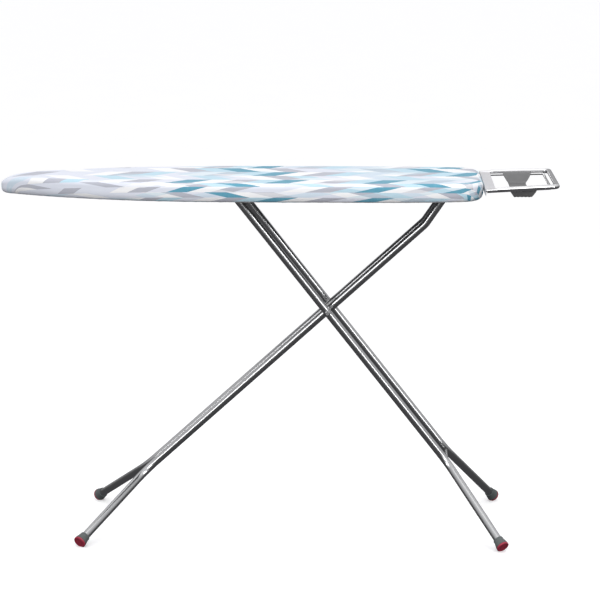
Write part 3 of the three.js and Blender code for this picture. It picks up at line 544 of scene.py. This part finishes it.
def shell(count, top, bottom, radius, hem, top_rows=26, start=0.0):
    """Rows of points: from the spine out over the flat top, then down the skin's section. With each goes
    its flat place in the cloth, measured outwards along the spoke by the length of the rows, and its place
    in the print, which runs PRINT_PULL times as fast where the cloth turns over the edge."""
    loop, inward, spine = board_outline(count)
    section = skin_section(top, bottom, radius, hem, start)
    edge = drawn_in(loop, inward, spine, section[0, 0])
    share = np.linspace(0.0, 1.0, top_rows, endpoint=False)[1:, None, None]
    flat_top = spine + (edge - spine) * share
    top_z = np.full(flat_top.shape[:2] + (1,), top)
    skin = np.stack([drawn_in(loop, inward, spine, inset) for inset, _ in section])
    skin_z = np.broadcast_to(section[:, 1][:, None, None], skin.shape[:2] + (1,))
    grid = np.vstack([np.concatenate([flat_top, top_z], axis=2), np.concatenate([skin, skin_z], axis=2)])
    grid[..., 2] -= nose_drop(grid[..., 0]) * np.clip((grid[..., 2] - bottom) / (top - bottom), 0, 1)
    first_step = np.linalg.norm(grid[:1, :, :2] - spine, axis=2)
    steps = np.concatenate([first_step, np.linalg.norm(np.diff(grid, axis=0), axis=2)])
    from_nose = np.clip(loop[:, 0] / 0.06, 0, 1)
    pull = np.zeros((len(steps), len(loop)))
    pull[top_rows:] = 1 + (PRINT_PULL - 1) * from_nose ** 2 * (3 - 2 * from_nose)
    spokes = unit(loop - spine)
    flat = spine + spokes * steps.cumsum(axis=0)[..., None]
    on_top = np.where((np.arange(len(steps)) < top_rows)[:, None, None], grid[..., :2], edge)
    printed = on_top - inward * (steps * pull).cumsum(axis=0)[..., None]
    centre = np.concatenate([spine, np.full((count, 1), top)], axis=1)
    centre[:, 2] -= nose_drop(centre[:, 0])
    grid = np.concatenate([centre[None], grid])
    grid[..., 0] += NOSE_X
    layers = {"flat": flat, "print": printed}
    return grid, {name: np.concatenate([spine[None], rows]) for name, rows in layers.items()}


def merged(obj, distance=0.00002):
    """Joins the doubled points along the spine, where the rows start."""
    work = bmesh.new()
    work.from_mesh(obj.data)
    bmesh.ops.remove_doubles(work, verts=work.verts, dist=distance)
    bmesh.ops.dissolve_degenerate(work, edges=work.edges, dist=distance / 4)
    work.to_mesh(obj.data)
    work.free()
    return obj


# ------------ cover and padding
COVER_COLUMNS = 640
COVER_EASE = 0.5 * MM
PAD_PRESSED = 0.8 * MM


def former():
    """What the cloth is drawn over while it settles: the board's own rounded form, a cloth's thickness
    inside the cover."""
    gap = COVER_THICKNESS + COVER_EASE
    grid, _ = shell(320, BOARD_TOP - gap, BOARD_BOTTOM + gap, EDGE_RADIUS - gap, HEM_WIDTH + 8 * MM, 12, gap)
    body = outward(merged(grid_surface("former", grid)))
    body.modifiers.new("collision", "COLLISION")
    body.collision.thickness_outer = 0.0004
    body.collision.cloth_friction = 12
    return body


def settled(cloth, steps=14, most=2.5 * MM):
    """The cloth settles on the former under its own weight, held along the hem; no point may move further
    than the most allowed, and the rest of its move is cut back evenly."""
    before = points_of(cloth.data)
    held = cloth.vertex_groups.new(name="hem")
    hem = np.where(before[:, 2] < BOARD_BOTTOM + 3 * MM)[0]
    held.add(hem.tolist(), 1.0, "REPLACE")
    body = former()
    sim = cloth.modifiers.new("settle", "CLOTH")
    sim.settings.vertex_group_mass = "hem"
    sim.settings.quality = 6
    sim.settings.mass = 0.18
    sim.settings.tension_stiffness = sim.settings.compression_stiffness = 25
    sim.settings.bending_stiffness = 0.6
    sim.settings.shrink_min = 0.004
    sim.collision_settings.distance_min = 0.0006
    sim.collision_settings.use_self_collision = False
    sim.point_cache.frame_start, sim.point_cache.frame_end = 1, steps
    scene = bpy.context.scene
    for number in range(1, steps + 1):
        scene.frame_set(number)
    shaped = cloth.evaluated_get(bpy.context.evaluated_depsgraph_get()).to_mesh()
    after = points_of(shaped)
    cloth.evaluated_get(bpy.context.evaluated_depsgraph_get()).to_mesh_clear()
    cloth.modifiers.remove(sim)
    cloth.vertex_groups.clear()
    bpy.data.objects.remove(body)
    scene.frame_set(1)
    move = after - before
    far = np.linalg.norm(move, axis=1, keepdims=True)
    share = np.minimum(1, most / np.maximum(far, 1e-9))
    cloth.data.vertices.foreach_set("co", (before + move * share).ravel())
    cloth.data.update()
    mean, largest = far.mean() / MM, far.max() / MM
    print(f"cover settled: mean move {mean:.2f} mm, largest before the cap {largest:.2f} mm")


def make_cover():
    """The cover, settled, given its thickness and bored for the rest's screws. Gathers lift the hem by
    h s^1.5 (sin 118a + 0.6 sin(71a + 1.3) + 0.4 sin(163a + 0.4)) / 2, where a goes once round the board and
    s runs from 0 to 1 over the last rows under it."""
    grid, places = shell(COVER_COLUMNS, BOARD_TOP, BOARD_BOTTOM, EDGE_RADIUS, HEM_WIDTH)
    column = np.arange(COVER_COLUMNS) / COVER_COLUMNS * 2 * np.pi
    under = np.clip((np.arange(len(grid)) - (len(grid) - 9)) / 8, 0, 1)[:, None]
    gathers = (np.sin(118 * column) + 0.6 * np.sin(71 * column + 1.3) + 0.4 * np.sin(163 * column + 0.4)) / 2
    grid[..., 2] += under ** 1.5 * gathers[None] * GATHER_LIFT * MM
    cover = outward(merged(grid_surface("cover_sheet", grid, uv=places)))
    settled(cover)
    wall = cover.modifiers.new("cloth_thickness", "SOLIDIFY")
    wall.thickness = COVER_THICKNESS
    wall.offset = -1
    for label in ("near", "far"):
        bored(cover, REST_SCREW_HOLE, 20 * MM, middle(f"rest_bolt_{label}"), (1, 0, 0))
    return place(cover, "board", "cover_cloth", CLOTH, "cover")


def make_hem_cord():
    """Draw cord in the hem: a round cord carried round the inner edge of the cover's underside."""
    loop, inward, spine = board_outline(360)
    at = drawn_in(loop, inward, spine, HEM_WIDTH + CORD_RADIUS + CORD_GAP)
    route = np.concatenate([at + [NOSE_X, 0], np.full((len(at), 1), BOARD_BOTTOM + 1.2 * MM)], axis=1)
    ahead = unit(np.roll(route, -1, axis=0) - np.roll(route, 1, axis=0))
    across = np.stack([-ahead[:, 1], ahead[:, 0], np.zeros(len(at))], axis=1)
    a = np.linspace(0, 2 * np.pi, 12, endpoint=False)[None, :, None]
    ring = route[:, None] + CORD_RADIUS * (np.cos(a) * across[:, None] + np.sin(a) * np.array([0, 0, 1.0]))
    cord = outward(grid_surface("hem_roll", ring, round_rows=True))
    return place(cord, "board", "cover_cloth", FELT)


def make_padding():
    """The felt pad: flat rows out from the spine, a rounded rim, and flat rows back under it. Towards the
    nose tip it is set back and slopes down with the cover."""
    low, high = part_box("padding")
    high.z -= PAD_PRESSED
    loop, inward, spine = board_outline(360)
    inset, radius = 10 * MM, 3.8 * MM
    turn = np.linspace(np.pi / 2, -np.pi / 2, 14)
    mid = (low.z + high.z) / 2
    straight = (high.z - low.z) / 2 - radius
    section = np.stack([inset + radius - radius * np.cos(turn),
                        mid + np.sign(turn) * straight + radius * np.sin(turn)], axis=1)
    rim = np.stack([drawn_in(loop, inward, spine, i) for i, _ in section])
    rim_z = np.broadcast_to(section[:, 1][:, None, None], rim.shape[:2] + (1,))
    rim = np.concatenate([rim, rim_z], axis=2)
    share = np.linspace(0, 1, 14, endpoint=False)[:, None, None]

    def flat_rows(row, z):
        return np.concatenate([spine + (row[:, :2] - spine) * share, np.full((14, len(loop), 1), z)], axis=2)

    grid = np.concatenate([flat_rows(rim[0], high.z), rim, flat_rows(rim[-1], low.z)[::-1]])
    grid[..., 0] += NOSE_SETBACK * np.clip(1 - grid[..., 0] / NOSE_TAPER, 0, 1) ** 2
    grid[..., 2] -= nose_drop(grid[..., 0]) * np.clip((grid[..., 2] - low.z) / (high.z - low.z), 0, 1)
    grid[..., 0] += NOSE_X
    pad = outward(merged(grid_surface("felt_padding", grid)))
    return place(pad, "board", "pad_felt", FELT, "padding")


cover = make_cover()
make_hem_cord()
make_padding()


# ------------ legs and feet
def outer_corners(side):
    """Top end, splay bend and foot of an outer leg, from the pivot along the leg's slope."""
    down = np.array([math.cos(OUTER_ANGLE), 0, -math.sin(OUTER_ANGLE)])
    at_pivot = np.array([PIVOT[0], side * OUTER_HALF_GAP, PIVOT[2]])
    at_glide = np.array([GLIDE[0], side * OUTER_HALF_GAP, GLIDE[2]])
    lower = (PIVOT[2] - FOOT_HEIGHT) / math.sin(OUTER_ANGLE)
    foot = at_pivot + down * lower
    foot[1] = side * OUTER_SPREAD
    return [at_glide - down * LEG_OVERHANG, at_pivot + down * (lower - OUTER_SPLAY), foot]


def inner_corners(side):
    """Top end, top bend, splay bend and foot of an inner leg."""
    down = np.array([-math.cos(INNER_ANGLE), 0, -math.sin(INNER_ANGLE)])
    up = np.array([math.cos(INNER_TOP_ANGLE), 0, math.sin(INNER_TOP_ANGLE)])
    y = side * INNER_HALF_GAP
    at_hinge = np.array([HINGE[0], y, HINGE[2]])
    at_pivot = np.array([PIVOT[0], y, PIVOT[2]])
    lower = (PIVOT[2] - FOOT_HEIGHT) / math.sin(INNER_ANGLE)
    foot = at_pivot + down * lower
    foot[1] = side * INNER_SPREAD
    return [at_hinge + up * LEG_OVERHANG, at_hinge - up * INNER_TOP_LENGTH,
            at_pivot + down * (lower - INNER_SPLAY), foot]


def leg_route(corners):
    """The leg's middle line, ending on the floor of its foot cap; each bend has its own radius."""
    foot = corners[-1]
    heading = unit(foot - corners[-2])
    end = foot - heading * (FOOT_FLOOR + SEAT_GAP)
    lower = rounded_route([corners[-3], corners[-2], end], SPLAY_BEND)
    if len(corners) == 3:
        return lower
    halfway = (corners[1] + corners[2]) / 2
    upper = rounded_route([corners[0], corners[1], halfway], TOP_BEND)
    return np.vstack([upper, rounded_route([halfway, corners[2], end], SPLAY_BEND)[1:]])


def hollow_tube(name, route, radius, wall, upright):
    """The outer skin carried down the route and the bore carried back up it, joined at both mouths."""
    lip = np.ones(len(route))
    lip[[0, -1]] = 1 - 0.35 * MM / radius
    skin = carried(route, radius * lip, 44, upright)
    bore = carried(route, radius - wall, 44, upright)[::-1]
    return outward(grid_surface(name, np.concatenate([skin, bore]), round_rows=True))


def drilled(tube, half_gap, side, *holes):
    """Cuts round holes along Y through both walls of a tube, each at a place of its own and with room for
    its pin."""
    for radius, centre in holes:
        bored(tube, radius, 1.5 * TUBE_RADIUS, (centre[0], side * half_gap, centre[2]), (0, 1, 0))


def make_foot(label, corners, body):
    """A rubber cap turned about the leg's end and the red pad in it, both pressed flat where they would
    reach below the floor: z = max(z, 0)."""
    foot = corners[-1]
    heading = unit(foot - corners[-2])
    bore, seat = TUBE_RADIUS + SEAT_GAP, -FOOT_PAD - SEAT_GAP
    edge = FOOT_END_RADIUS - 0.5 * MM
    cap = [(0, -FOOT_FLOOR), (bore, -FOOT_FLOOR), (bore, -FOOT_LENGTH), (FOOT_COLLAR_RADIUS, -FOOT_LENGTH),
           (FOOT_COLLAR_RADIUS + 0.2 * MM, -FOOT_LENGTH + 3 * MM),
           (FOOT_COLLAR_RADIUS - 0.4 * MM, -FOOT_LENGTH + 4 * MM),
           (FOOT_COLLAR_RADIUS + 0.6 * MM, -FOOT_LENGTH * 0.7), (edge, seat - 2 * MM), (edge, seat),
           (0, seat)]
    pad = [(0, -FOOT_PAD), (FOOT_END_RADIUS - 0.6 * MM, -FOOT_PAD), (FOOT_END_RADIUS, -FOOT_PAD * 0.7),
           (FOOT_END_RADIUS, -FOOT_PAD * 0.3), (FOOT_END_RADIUS - 1.4 * MM, 0), (FOOT_END_RADIUS - 4 * MM, 0),
           (FOOT_END_RADIUS - 6 * MM, -1 * MM), (6.5 * MM, -1 * MM), (6 * MM, -0.5 * MM), (5 * MM, -0.5 * MM),
           (4.5 * MM, -1 * MM), (0, -1 * MM)]
    for kind, profile, slot, material in (("cap", cap, "foot_rubber", RUBBER), ("pad", pad, "foot_red", RED)):
        obj = turned(f"foot_{kind}_of_{label}", profile, foot, heading, 64, 0.7 * MM)
        co = points_of(obj.data)
        co[:, 2] = np.maximum(co[:, 2], 0.0)
        obj.data.vertices.foreach_set("co", co.ravel())
        obj.data.update()
        place(outward(obj), body, slot, material, f"foot_{kind}_{label}")


def pin_along_y(name, centre, reach, body, node):
    """A pin with a rolled head at each end, hollow in its middle like a tubular rivet."""
    run = [(0, reach - 1 * MM), (PIN_BORE, reach - 1 * MM), (PIN_BORE, reach + PIN_HEAD_HEIGHT),
           (PIN_HEAD * 0.72, reach + PIN_HEAD_HEIGHT), (PIN_HEAD, reach + PIN_HEAD_HEIGHT * 0.45),
           (PIN_HEAD, reach), (PIN_RADIUS, reach)]
    profile = [(r, -h) for r, h in run] + run[::-1]
    place(outward(turned(name, profile, centre, (0, 1, 0), 48, 0.5 * MM)), body, "zinc_steel", ZINC, node)


def sleeve(name, radius, bore, node, body, groove=0.0):
    """A bush between the ends of its frame piece's box: outer wall, chamfered ends and bore."""
    low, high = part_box(node)
    centre, half = middle(node), (high.y - low.y) / 2
    waist = radius - groove
    profile = [(bore, -half), (radius - 0.4 * MM, -half), (radius, -half + 0.8 * MM), (waist, -half * 0.5),
               (waist, half * 0.5), (radius, half - 0.8 * MM), (radius - 0.4 * MM, half), (bore, half)]
    place(outward(turned(name, profile, centre, (0, 1, 0), 44, 0.4 * MM)), body, "nylon", NYLON, node)


def round_bar(name, node, radius, body, slot, material, dome=0.8 * MM):
    """A plain rod along Y as long as its frame piece, with slightly domed ends."""
    low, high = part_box(node)
    half = (high.y - low.y) / 2
    profile = [(0, -half), (radius - dome, -half), (radius, -half + dome), (radius, half - dome),
               (radius - dome, half), (0, half)]
    place(outward(turned(name, profile, middle(node), (0, 1, 0), 40, dome)), body, slot, material, node)


# For each pair: how its corners are found, its half gap, the way up from its slope, and its holes.
LEG_PAIRS = {
    "outer": (outer_corners, OUTER_HALF_GAP, (math.sin(OUTER_ANGLE), 0, math.cos(OUTER_ANGLE)),
              ((PIN_HOLE, PIVOT), (SLIDE_HOLE, GLIDE))),
    "inner": (inner_corners, INNER_HALF_GAP, (-math.sin(INNER_ANGLE), 0, math.cos(INNER_ANGLE)),
              ((PIN_HOLE, PIVOT), (PIN_HOLE, HINGE))),
}
for label, side in (("near", -1), ("far", 1)):
    for kind, (corners_of, half_gap, upright, holes) in LEG_PAIRS.items():
        body, corners = f"{kind}_legs", corners_of(side)
        leg = hollow_tube(f"{kind}_tube_{label}", leg_route(corners), TUBE_RADIUS, TUBE_WALL, upright)
        drilled(leg, half_gap, side, *holes)
        place(leg, body, "chromed_tube", CHROME, f"{kind}_leg_{label}")
        make_foot(f"{kind}_{label}", corners, body)
    sleeve(f"slide_bush_{label}", BUSH_RADIUS, SLIDE_HOLE, f"glide_bush_{label}", "outer_legs")
    sleeve(f"scissor_spacer_{label}", BUSH_RADIUS, PIN_HOLE, f"pivot_spacer_{label}", "inner_legs",
           SPACER_GROOVE)
    sleeve(f"hinge_collar_{label}", COLLAR_RADIUS, PIN_HOLE, f"hinge_washer_{label}", "board")
sleeve("scissor_spacer_middle", BUSH_RADIUS, PIN_HOLE, "pivot_spacer_middle", "inner_legs", SPACER_GROOVE)
round_bar("slide_rod", "glide_rod", SLIDE_ROD_RADIUS, "outer_legs", "zinc_steel", ZINC)
for kind in ("outer", "inner"):
    round_bar(f"{kind}_cross_tie", f"{kind}_brace", TIE_RADIUS, f"{kind}_legs", "chromed_tube", CHROME,
              0.3 * MM)
pin_along_y("scissor_pin", PIVOT, OUTER_HALF_GAP + TUBE_RADIUS + SEAT_GAP, "inner_legs", "pivot_rod")
pin_along_y("fold_pin", HINGE, FOLD_PIN_REACH + SEAT_GAP, "board", "hinge_rod")

# ------------ height latch
spring_low, spring_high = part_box("latch_spring")


def make_latch_round_parts():
    """The latch's pin with its rolled heads, its coil spring, the release bar and the ribbed grip."""
    low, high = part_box("latch_pin")
    near_reach, far_reach = -(low.y + 1.5 * MM), high.y - 1.5 * MM
    hole, radius, head = 1.65 * MM, 3 * MM, 4.5 * MM
    profile = [(0, -near_reach + 1 * MM), (hole, -near_reach + 1 * MM), (hole, -near_reach - 1.5 * MM),
               (head * 0.75, -near_reach - 1.5 * MM), (head, -near_reach - 0.7 * MM), (head, -near_reach),
               (radius, -near_reach), (radius, far_reach), (head, far_reach), (head, far_reach + 0.7 * MM),
               (head * 0.75, far_reach + 1.5 * MM), (hole, far_reach + 1.5 * MM), (hole, far_reach - 1 * MM),
               (0, far_reach - 1 * MM)]
    centre = np.array([LATCH_PIN[0], 0, LATCH_PIN[2]])
    pin = outward(turned("latch_pivot_pin", profile, centre, (0, 1, 0), 40, 0.4 * MM))
    place(pin, "board", "zinc_steel", ZINC, "latch_pin")

    wire, coil, turns = 0.7 * MM, 5.2 * MM, 4
    a = np.linspace(0, 2 * np.pi * turns, turns * 40 + 1)
    start, finish = spring_high.y - wire, spring_low.y + wire
    route = np.stack([LATCH_PIN[0] + coil * np.cos(a), np.linspace(start, finish, len(a)),
                      LATCH_PIN[2] + coil * np.sin(a)], axis=1)
    spring = outward(grid_surface("latch_coil", carried(route, wire, 12, (0, 1, 0)), caps=(True, True)))
    place(spring, "board", "zinc_steel", ZINC, "latch_spring")

    round_bar("release_bar", "latch_handle", 4 * MM, "latch", "chromed_tube", CHROME)
    low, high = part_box("latch_grip")
    closed, mouth, r = low.y, high.y, 7 * MM
    ribs = [(r * (0.88 if k % 2 else 0.98), closed + 8 * MM + k * 2.2 * MM) for k in range(17)]
    profile = [(0, closed), (r * 0.7, closed), (r, closed + 3 * MM), *ribs, (r, mouth - 2 * MM),
               (r * 0.85, mouth), (4.3 * MM, mouth), (4.3 * MM, closed + 3.7 * MM), (0, closed + 3.7 * MM)]
    centre = np.array([HANDLE[0], 0, HANDLE[2]])
    grip = outward(turned("release_grip", profile, centre, (0, 1, 0), 48, 0.9 * MM))
    place(grip, "latch", "grip_plastic", GRIP, "latch_grip")


make_latch_round_parts()

# ------------ iron rest
CROSSBAR_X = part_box("rest_crossbar")[0].x
REST_RADIUS = 6 * MM
REST_END_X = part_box("rest_loop")[1].x - REST_RADIUS
ROOT_HALF, END_HALF = 183 * MM, 160 * MM
ROOT_Z = BOARD_TOP - 15 * MM
REST_RISE = 7 * MM
TAPER = (ROOT_HALF - END_HALF) / (REST_END_X - CROSSBAR_X)
SLOPE = REST_RISE / (REST_END_X - CROSSBAR_X)


def rest_corners(inset, drop, x0, x1):
    """Four corners of a wire of the rest: its half width tapers and its height rises evenly outwards."""
    def corner(x, side):
        out = x - CROSSBAR_X
        return np.array([x, side * (ROOT_HALF - TAPER * out - inset), ROOT_Z + SLOPE * out - drop])
    return [corner(x0, -1), corner(x1, -1), corner(x1, 1), corner(x0, 1)]


def make_rest():
    """The iron rest: a loop of tube pressed flatter towards its ends, a wire inside it, a pressed tray with
    ribs in its floor, and two screws."""
    route = rounded_route(rest_corners(0, 0, CROSSBAR_X, REST_END_X), 14 * MM, 3 * MM)
    run = np.concatenate([[0], np.cumsum(np.linalg.norm(np.diff(route, axis=0), axis=1))])
    from_end = np.minimum(run, run[-1] - run)
    flat = 1 - np.clip((from_end - 22 * MM) / (14 * MM), 0, 1)
    flat = flat * flat * (3 - 2 * flat)
    skin = carried(route, REST_RADIUS, 44, (0, 0, 1), 1 - 0.5 * flat)
    tube = outward(grid_surface("rest_frame", skin, caps=(True, True)))
    place(tube, "board", "chromed_tube", REST_CHROME, "rest_loop")

    low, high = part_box("rest_wire")
    inner = rounded_route(rest_corners(14.5 * MM, 5.5 * MM, low.x, high.x - 3 * MM), 7 * MM, 3 * MM)
    wire = outward(grid_surface("rest_inner_wire", carried(inner, 3 * MM, 28, (0, 0, 1)), caps=(True, True)))
    place(wire, "board", "chromed_tube", REST_CHROME, "rest_wire")

    low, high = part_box("rest_tray")
    lip, depth, wall = 10 * MM, 26 * MM, 1.5 * MM
    edge_y = high.y - lip
    floor_y = edge_y - depth * 0.45
    lip_z, floor_z = high.z, high.z - depth
    half = softened([(high.y, lip_z), (edge_y, lip_z), (floor_y, floor_z), (0, floor_z)], 9 * MM, 12)
    line = np.vstack([half, (half * [-1, 1])[-2::-1]])
    run = np.concatenate([[0], np.cumsum(np.linalg.norm(np.diff(line, axis=0), axis=1))])
    even = np.linspace(0, run[-1], 150)
    line = np.stack([np.interp(even, run, line[:, k]) for k in range(2)], axis=1)
    normal = unit(np.gradient(line, axis=0))
    under = line + np.stack([-normal[:, 1], normal[:, 0]], axis=1) * wall
    ring = np.vstack([line, under[::-1]])
    share = np.clip((high.z - ring[:, 1]) / depth, 0, 1)
    width = (36 - 14 * share ** 1.5) * MM
    across = np.concatenate([[-1], np.linspace(-0.97, 0.97, 19), [1]])
    x = (low.x + high.x) / 2 + across[:, None] * width[None]
    ribs = 0.5 * MM * np.sin(np.pi * across * 5)[:, None] * (share[None] > 0.97)
    grid = np.stack([x, np.broadcast_to(ring[:, 0], x.shape), ring[:, 1] + ribs], axis=2)
    tray = outward(grid_surface("iron_tray_pressing", grid, caps=(True, True)))
    place(bevelled(tray, 0.4 * MM, 2, 50), "board", "tray_paint", TRAY, "rest_tray")

    for label in ("near", "far"):
        low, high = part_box(f"rest_bolt_{label}")
        shank, head, height = 3 * MM, 5.5 * MM, 3.5 * MM
        length = high.x - low.x
        profile = [(0, 0), (shank, 0), (shank, length - height), (head, length - height),
                   (head, length - height * 0.5), (head * 0.75, length - 0.3 * MM), (2.4 * MM, length),
                   (2.2 * MM, length - 1.4 * MM), (0, length - 1.4 * MM)]
        at = middle(f"rest_bolt_{label}")
        at[0] = low.x
        screw = outward(turned(f"rest_screw_{label}", profile, at, (1, 0, 0), 36, 0.4 * MM))
        place(screw, "board", "zinc_steel", ZINC, f"rest_bolt_{label}")


make_rest()


def make_rail_rivets():
    """Domed rivet heads under the guide rails: (r cos t, h/4 + 3h/4 sin t) turned about the way down."""
    for label in ("near", "far"):
        for number in (1, 2):
            node = f"rail_rivet_{label}_{number}"
            low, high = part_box(node)
            r, h = (high.x - low.x) / 2, high.z - low.z
            turn = np.linspace(0, np.pi / 2, 9)
            dome = [(r * math.cos(t), h * 0.25 + h * 0.75 * math.sin(t)) for t in turn[:-1]]
            profile = [(0, 0), (r, 0), *dome, (r * 0.12, h), (0, h)]
            at = middle(node)
            at[2] = high.z
            rivet = outward(turned(f"flush_{node}", profile, at, (0, 0, -1), 32, 0.2 * MM))
            place(rivet, "board", "zinc_steel", ZINC, node)


make_rail_rivets()

# ------------ frame pieces that stay
KEPT = {
    "top_sheet": ("zinc_steel", ZINC, 0.25), "edge_rim": ("zinc_steel", ZINC, 0.25),
    "guide_rail_near": ("zinc_steel", ZINC, 0.5), "guide_rail_far": ("zinc_steel", ZINC, 0.5),
    "hinge_bracket": ("zinc_steel", ZINC, 0.5), "latch_bracket": ("zinc_steel", ZINC, 0.4),
    "latch_bar": ("zinc_steel", ZINC, 0.35), "rest_crossbar": ("crossbar_paint", CROSSBAR, 0.6),
}
for node, (slot, material, width) in KEPT.items():
    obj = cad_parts[node]
    obj.data.materials.clear()
    obj.data.materials.append(material)
    bevelled(obj, width * MM, 2, 40, weld=True)

# ------------ floor, light and camera
floor_places = np.meshgrid(np.linspace(-40, 40, 3), np.linspace(-40, 60, 3), [0.0])
floor = grid_surface("studio_floor", np.stack(floor_places, axis=-1).reshape(3, 3, 3), round_cols=False)
floor.visible_diffuse = False
floor.visible_glossy = False
if floor.data.polygons[0].normal.z < 0:
    floor.data.flip_normals()
paper = Finish("floor_paper", Specular_IOR_Level=0.1, Emission_Color=(1, 1, 1, 1), Emission_Strength=0.24)
paper_tone = paper.mix(paper.noise(paper.place_of(), 3.0), shade(248, 248, 249), shade(252, 252, 252))
floor.data.materials.append(paper.done(paper_tone, 0.9))

world = bpy.data.worlds.new("studio")
bpy.context.scene.world = world
world.use_nodes = True
# A studio that is dim below the horizon and brightens towards the ceiling.
nodes, links = world.node_tree.nodes, world.node_tree.links
height = nodes.new("ShaderNodeSeparateXYZ")
links.new(nodes.new("ShaderNodeTexCoord").outputs["Generated"], height.inputs[0])
room = nodes.new("ShaderNodeMapRange")
room.inputs["From Min"].default_value = -1.0
links.new(height.outputs[2], room.inputs["Value"])
ramp = nodes.new("ShaderNodeValToRGB")
links.new(room.outputs[0], ramp.inputs["Fac"])
ramp.color_ramp.elements[0].position, ramp.color_ramp.elements[0].color = 0.0, (0.08, 0.08, 0.085, 1)
ramp.color_ramp.elements[1].position, ramp.color_ramp.elements[1].color = 1.0, (1.05, 1.05, 1.06, 1)
for position, level in ((0.46, 0.10), (0.53, 0.34), (0.72, 0.62)):
    ramp.color_ramp.elements.new(position).color = (level, level, level * 1.02, 1)
links.new(ramp.outputs[0], nodes["Background"].inputs["Color"])
bpy.context.scene.view_settings.view_transform = "Standard"


def lamp(name, at, towards, size, power, along=(0, 1, 0)):
    """A soft rectangular lamp that looks from its place to a point, its long side as near as it can be to
    the given direction."""
    data = bpy.data.lights.new(name, "AREA")
    data.shape = "RECTANGLE"
    data.size, data.size_y = size
    data.energy = power
    obj = bpy.data.objects.new(name, data)
    obj.location = at
    aim = np.asarray(towards, dtype=float) - np.asarray(at, dtype=float)
    back = -unit(aim)
    long_side = np.asarray(along, dtype=float)
    long_side = unit(long_side - back * (long_side @ back))
    turn = Matrix(np.stack([np.cross(long_side, back), long_side, back], axis=1).tolist())
    obj.rotation_euler = turn.to_euler()
    obj.visible_camera = False
    bpy.context.scene.collection.objects.link(obj)


LEG_MIDDLE = (PIVOT[0], 0, PIVOT[2])
OUTER_RUN = (math.cos(OUTER_ANGLE), 0, -math.sin(OUTER_ANGLE))
INNER_RUN = (math.cos(INNER_ANGLE), 0, math.sin(INNER_ANGLE))
lamp("overhead", (-0.3, 0.4, 3.8), (0, 0, 0.9), (3.4, 2.4), 15, (1, 0, 0))
lamp("right_panel", (1.9, -2.4, 1.5), LEG_MIDDLE, (0.55, 2.6), 26, OUTER_RUN)
lamp("left_panel", (-1.3, -2.7, 1.5), LEG_MIDDLE, (0.5, 2.6), 26, INNER_RUN)
lamp("high_front", (0.2, -5.0, 2.5), (0, 0, 0.8), (2.6, 0.9), 36, (1, 0, 0))

camera_data = bpy.data.cameras.new("view")
camera_data.lens = 156.8
camera_data.sensor_width = 36
camera_data.clip_end = 120
camera = bpy.data.objects.new("view", camera_data)
camera.location = (0.2236, -6.4633, 1.6905)
camera.rotation_euler = (math.pi / 2 - 0.1704, 0, 0.026)
bpy.context.scene.collection.objects.link(camera)
bpy.context.scene.camera = camera
